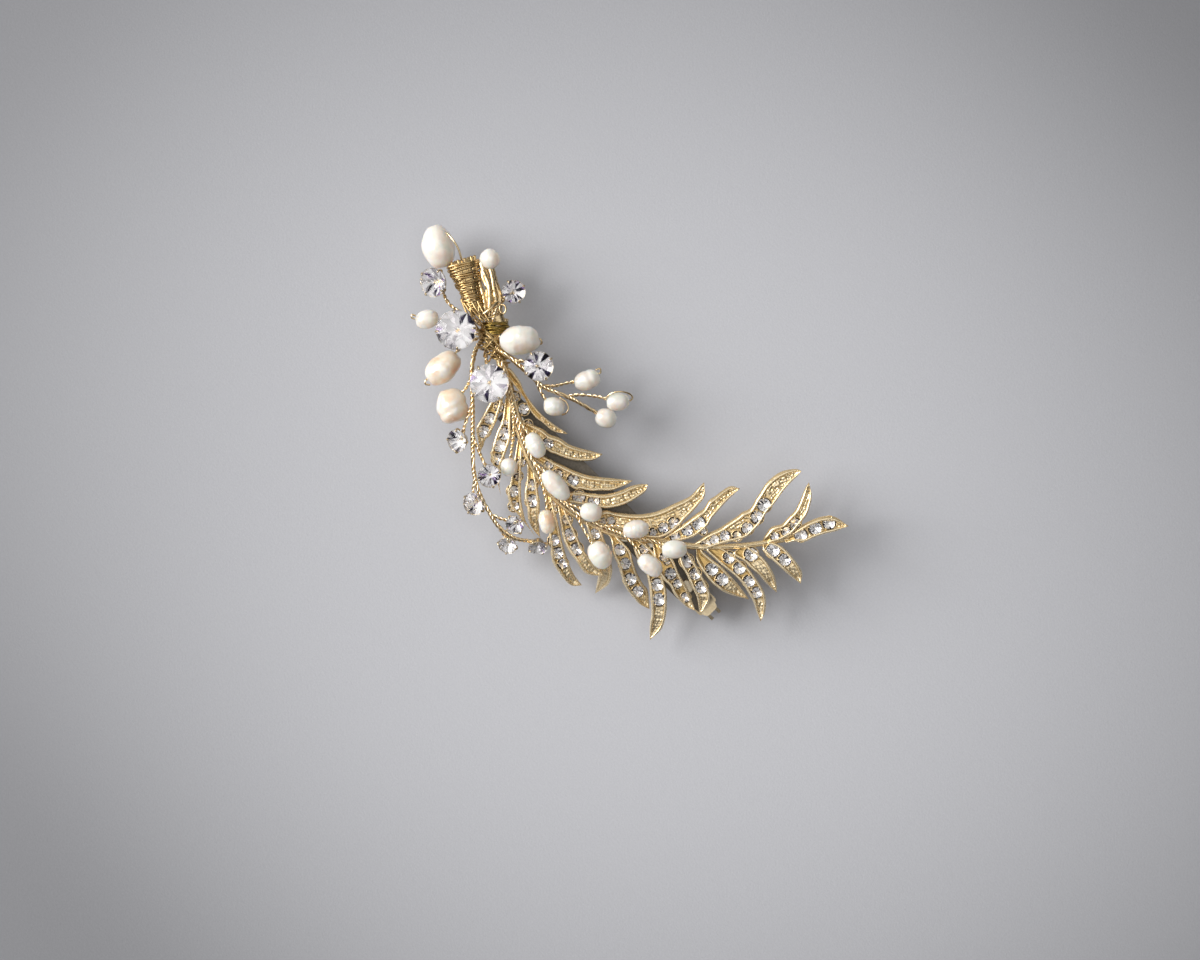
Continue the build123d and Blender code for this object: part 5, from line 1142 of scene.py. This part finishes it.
def binding(b, x, y, z, head, turns, pitch, ro, ri, rs, seed, squash=0.86, cross=3, spread=1.0, lean=0.7):
    """Fine wire wound and crossed round the stem."""
    h = math.radians(head)
    d = np.array([math.cos(h), math.sin(h), 0.0])
    s = np.array([-math.sin(h), math.cos(h), 0.0])
    up = np.array([0, 0, 1.0])
    o = np.array([x, y, z])
    r = random.Random(seed)
    per = 30
    total = (turns - 1) * pitch
    path = []
    n = int(turns * per)
    for i in range(n):
        th = 2 * math.pi * i / per
        f = i / n - 0.5
        k = i // per
        rr = ro - 0.22 + 0.16 * math.sin(k * 1.9 + seed)
        path.append(o + d * (f * total * spread + 0.20 * math.sin(th + k * 1.7)) + s * rr * math.cos(th) + up * rr * squash * math.sin(th))
    tube(b, np.array(path), rs, 8)
    for q in range(cross):
        tilt, off = r.uniform(-lean, lean), r.uniform(-0.5, 0.5) * total
        rr = ro + r.uniform(-0.05, 0.12)
        loop = [o + d * (off + tilt * rr * math.cos(t)) + s * rr * math.cos(t) + up * rr * squash * math.sin(t)
                for t in np.linspace(0, 2 * math.pi, 48)]
        tube(b, np.array(loop), rs, 8)


for name, (x, y, z, head, turns, pitch, ro, ri) in BINDINGS.items():
    b = Build()
    if name == "dark_binding":
        binding(b, x, y, z, head, turns + 1, pitch * 0.85, ro, ri, 0.19, 3, 0.9, 5, lean=0.28)
        # the dark binding's wire is coloured near-black: painted shade
        b.make(name, [M_SHADED_WIRE], (name,), "aged_wire")
    else:
        binding(b, x, y, z, head, turns + 2, pitch * 0.9, ro, ri, 0.19, 8, 0.85, 4)
        # a looser pad of the same wire below, where the stems fan out
        for k, (px, py, pz, tilt, rr) in enumerate(EXTRA["coil_pad"]):
            h = math.radians(head + tilt)
            d2, s2 = np.array([math.cos(h), math.sin(h), 0.0]), np.array([-math.sin(h), math.cos(h), 0.0])
            loop = [np.array([px, py, pz]) + s2 * rr * math.cos(t) + d2 * 0.22 * math.sin(2 * t + k)
                    + np.array([0, 0, 0.62 * rr * math.sin(t)]) for t in np.linspace(0, 2 * math.pi, 40)]
            tube(b, np.array(loop), 0.17, 8)
        b.make(name, [M_COIL], (name,), "gold_wire")

# ====================================================================== clip: CAD shapes keep their form
def plate_with_painted_shade():
    """The strip is coloured dark grey-brown, painted shade, and turns pale gold past X 36.6–37.6 mm at the latch."""
    m, nt, bsdf = node_mat("clip_strip")
    vec = coords(nt)
    fine = noise_node(nt, vec, 3.0, 4, 0.6)
    # painted shade: the strip is coloured dark grey-brown so it reads as shadow between the leaves
    painted_strip_shade = ramp(nt, fine, [(0.3, (0.075, 0.064, 0.050)), (0.7, (0.13, 0.113, 0.090))])
    latch_gold = ramp(nt, fine, [(0.3, (0.80, 0.68, 0.46)), (0.7, (0.64, 0.51, 0.32))])
    sep = new(nt, "ShaderNodeSeparateXYZ")
    nt.links.new(vec, sep.inputs[0])
    latch_end_mask = new(nt, "ShaderNodeMapRange")
    latch_end_mask.inputs["From Min"].default_value = 36.6
    latch_end_mask.inputs["From Max"].default_value = 37.6
    nt.links.new(sep.outputs["X"], latch_end_mask.inputs["Value"])
    nt.links.new(mix_col(nt, latch_end_mask.outputs["Result"], painted_strip_shade, latch_gold), bsdf.inputs["Base Color"])
    bsdf.inputs["Metallic"].default_value = 0.75
    bsdf.inputs["Roughness"].default_value = 0.42
    bump(nt, bsdf, fine, 0.4, 0.00002)
    return m


for node, m in (("base_plate", plate_with_painted_shade()), ("clasp_arm", M_CLIP), ("latch_saddle", M_CLIP), ("latch_prong_left", M_CLIP),
                ("latch_prong_right", M_CLIP), ("tension_spring", M_SPRING), ("hinge_pin", M_PIN), ("latch_rivet", M_PIN),
                ("solder_joints", M_SOLDER)):
    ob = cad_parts[node]
    ob.data.materials.clear()
    ob.data.materials.append(m)

# ====================================================================== floor, light and camera
# fitted terms (power of u, power of v, coefficient) of the painted light falloff on the paper
FLOOR = [
    (0, 0, -0.0716), (0, 1, 0.0588), (1, 0, 0.1456), (0, 2, -0.0066), (1, 1, 0.0137),
    (2, 0, -0.1593), (0, 3, 0.0728), (1, 2, 0.0441), (2, 1, -0.0288), (3, 0, 0.1468),
    (0, 4, -0.9181), (1, 3, 0.2403), (2, 2, -0.8128), (3, 1, 0.4087), (4, 0, -1.2100)]
cam_x, cam_y = 0.1262696 * (19 + 40) + SHIFT[0], 0.1262696 * (19 - 40) + SHIFT[1]
me = bpy.data.meshes.new("paper")
S = 1.7
me.from_pydata([(-S, -S, 0), (S, -S, 0), (S, S, 0), (-S, S, 0)], [], [(0, 1, 2, 3)])
paper = bpy.data.objects.new("paper", me)
bpy.context.scene.collection.objects.link(paper)
m, nt, bsdf = node_mat("paper")
vec = coords(nt)
pc = ramp(nt, noise_node(nt, vec, 2.6, 4, 0.6), [(0.3, (0.560, 0.566, 0.602)), (0.7, (0.600, 0.606, 0.642))])
off = new(nt, "ShaderNodeVectorMath", operation="SUBTRACT")
nt.links.new(vec, off.inputs[0])
off.inputs[1].default_value = (cam_x, cam_y, 0)
# painted light: a fitted, slow change of the paper's brightness across the table
rel = off.outputs[0]


def along(direction, scale):
    """Distance from the middle of the table, flattening out far away."""
    d = new(nt, "ShaderNodeVectorMath", operation="DOT_PRODUCT")
    nt.links.new(rel, d.inputs[0])
    d.inputs[1].default_value = direction
    return math_node(nt, "TANH", math_node(nt, "MULTIPLY", d.outputs["Value"], 0.9 * scale), 0.0)


pu, pv = along((0.70711, 0.70711, 0.0), 5.517 / 600), along((0.70711, -0.70711, 0.0), 5.517 / 480)


def powers(q):
    out = [None, q]
    for k in range(3):
        out.append(math_node(nt, "MULTIPLY", out[-1], q))
    return out


up_, vp_ = powers(pu), powers(pv)
tone = FLOOR[0][2]
for i, j, c in FLOOR[1:]:
    q = up_[i] if not j else (vp_[j] if not i else math_node(nt, "MULTIPLY", up_[i], vp_[j]))
    tone = math_node(nt, "ADD", tone, math_node(nt, "MULTIPLY", q, c))
painted_falloff = math_node(nt, "POWER", 2.71828, tone)
low = new(nt, "ShaderNodeMath", operation="SMOOTH_MAX")
nt.links.new(painted_falloff, low.inputs[0])
low.inputs[1].default_value = 0.40
low.inputs[2].default_value = 0.12
painted_falloff = low.outputs[0]
# beyond the middle of the table the painted falloff blends back to an even 0.62
far = new(nt, "ShaderNodeVectorMath", operation="LENGTH")
nt.links.new(rel, far.inputs[0])
edge = new(nt, "ShaderNodeMapRange", interpolation_type="SMOOTHSTEP")
edge.inputs["From Min"].default_value = 136.0
edge.inputs["From Max"].default_value = 250.0
nt.links.new(far.outputs["Value"], edge.inputs["Value"])
painted_falloff = math_node(nt, "ADD", painted_falloff, math_node(nt, "MULTIPLY", edge.outputs["Result"], math_node(nt, "SUBTRACT", 0.62, painted_falloff)))
grey = new(nt, "ShaderNodeCombineColor")
for k in range(3):
    nt.links.new(painted_falloff, grey.inputs[k])
pc = mix_col(nt, 1.0, pc, grey.outputs[0], "MULTIPLY")
nt.links.new(pc, bsdf.inputs["Base Color"])
bsdf.inputs["Roughness"].default_value = 0.9
bsdf.inputs["Specular IOR Level"].default_value = 0.2
bump(nt, bsdf, noise_node(nt, vec, 2.4, 5, 0.7), 0.6, 0.00007)
me.materials.append(m)


def area(name, loc, target, size, power, colour=(1, 1, 1)):
    li = bpy.data.lights.new(name, "AREA")
    li.shape = "RECTANGLE"
    li.size, li.size_y = size
    li.energy = power
    li.color = colour
    ob = bpy.data.objects.new(name, li)
    ob.location = loc
    ob.rotation_euler = (Vector(target) - Vector(loc)).to_track_quat("-Z", "Y").to_euler()
    bpy.context.scene.collection.objects.link(ob)
    return ob


area("window", (-0.62, -0.34, 0.50), (0, 0, 0), (0.56, 0.66), 9.4, (1.0, 0.99, 0.975))

world = bpy.data.worlds.new("studio")
bpy.context.scene.world = world
world.use_nodes = True
wt = world.node_tree
bg = wt.nodes["Background"]
tc = new(wt, "ShaderNodeTexCoord")
sep = new(wt, "ShaderNodeSeparateXYZ")
wt.links.new(tc.outputs["Generated"], sep.inputs[0])
side = math_node(wt, "ADD", math_node(wt, "MULTIPLY", sep.outputs["X"], -0.5), 0.5)
wcol = ramp(wt, side, [(0.0, (0.05, 0.05, 0.055)), (0.5, (0.13, 0.13, 0.135)), (0.8, (0.42, 0.42, 0.41)), (1.0, (0.66, 0.65, 0.63))])
patch = noise_node(wt, tc.outputs["Generated"], 3.1, 1.0, 0.4)
patch = ramp(wt, patch, [(0.44, (0.30, 0.30, 0.32)), (0.54, (1.30, 1.29, 1.27))])
wcol = mix_col(wt, 1.0, wcol, patch, "MULTIPLY")
# plain backdrop round the horizon
low = new(wt, "ShaderNodeMapRange", interpolation_type="SMOOTHSTEP")
low.inputs["From Min"].default_value = 0.12
low.inputs["From Max"].default_value = 0.36
wt.links.new(sep.outputs["Z"], low.inputs["Value"])
back = ramp(wt, side, [(0.0, (0.30, 0.30, 0.305)), (1.0, (0.52, 0.52, 0.525))])
wcol = mix_col(wt, low.outputs["Result"], back, wcol)
# a pale ceiling straight above
ceil = ramp(wt, sep.outputs["Z"], [(0.84, (0.0, 0.0, 0.0)), (0.93, (1.06, 1.05, 1.03))])
wcol = mix_col(wt, 1.0, wcol, ceil, "ADD")
wt.links.new(wcol, bg.inputs["Color"])
bg.inputs["Strength"].default_value = 1.0

cam_data = bpy.data.cameras.new("camera")
cam_data.lens = 100
cam_data.sensor_width = 36
cam = bpy.data.objects.new("camera", cam_data)
cam.location = (cam_x * MM, cam_y * MM, 0.009 + 0.5952)
cam.rotation_euler = (0, 0, math.radians(45))
cam_data.clip_start, cam_data.clip_end = 0.01, 20
bpy.context.scene.collection.objects.link(cam)
bpy.context.scene.camera = cam
bpy.context.scene.view_settings.view_transform = "Standard"
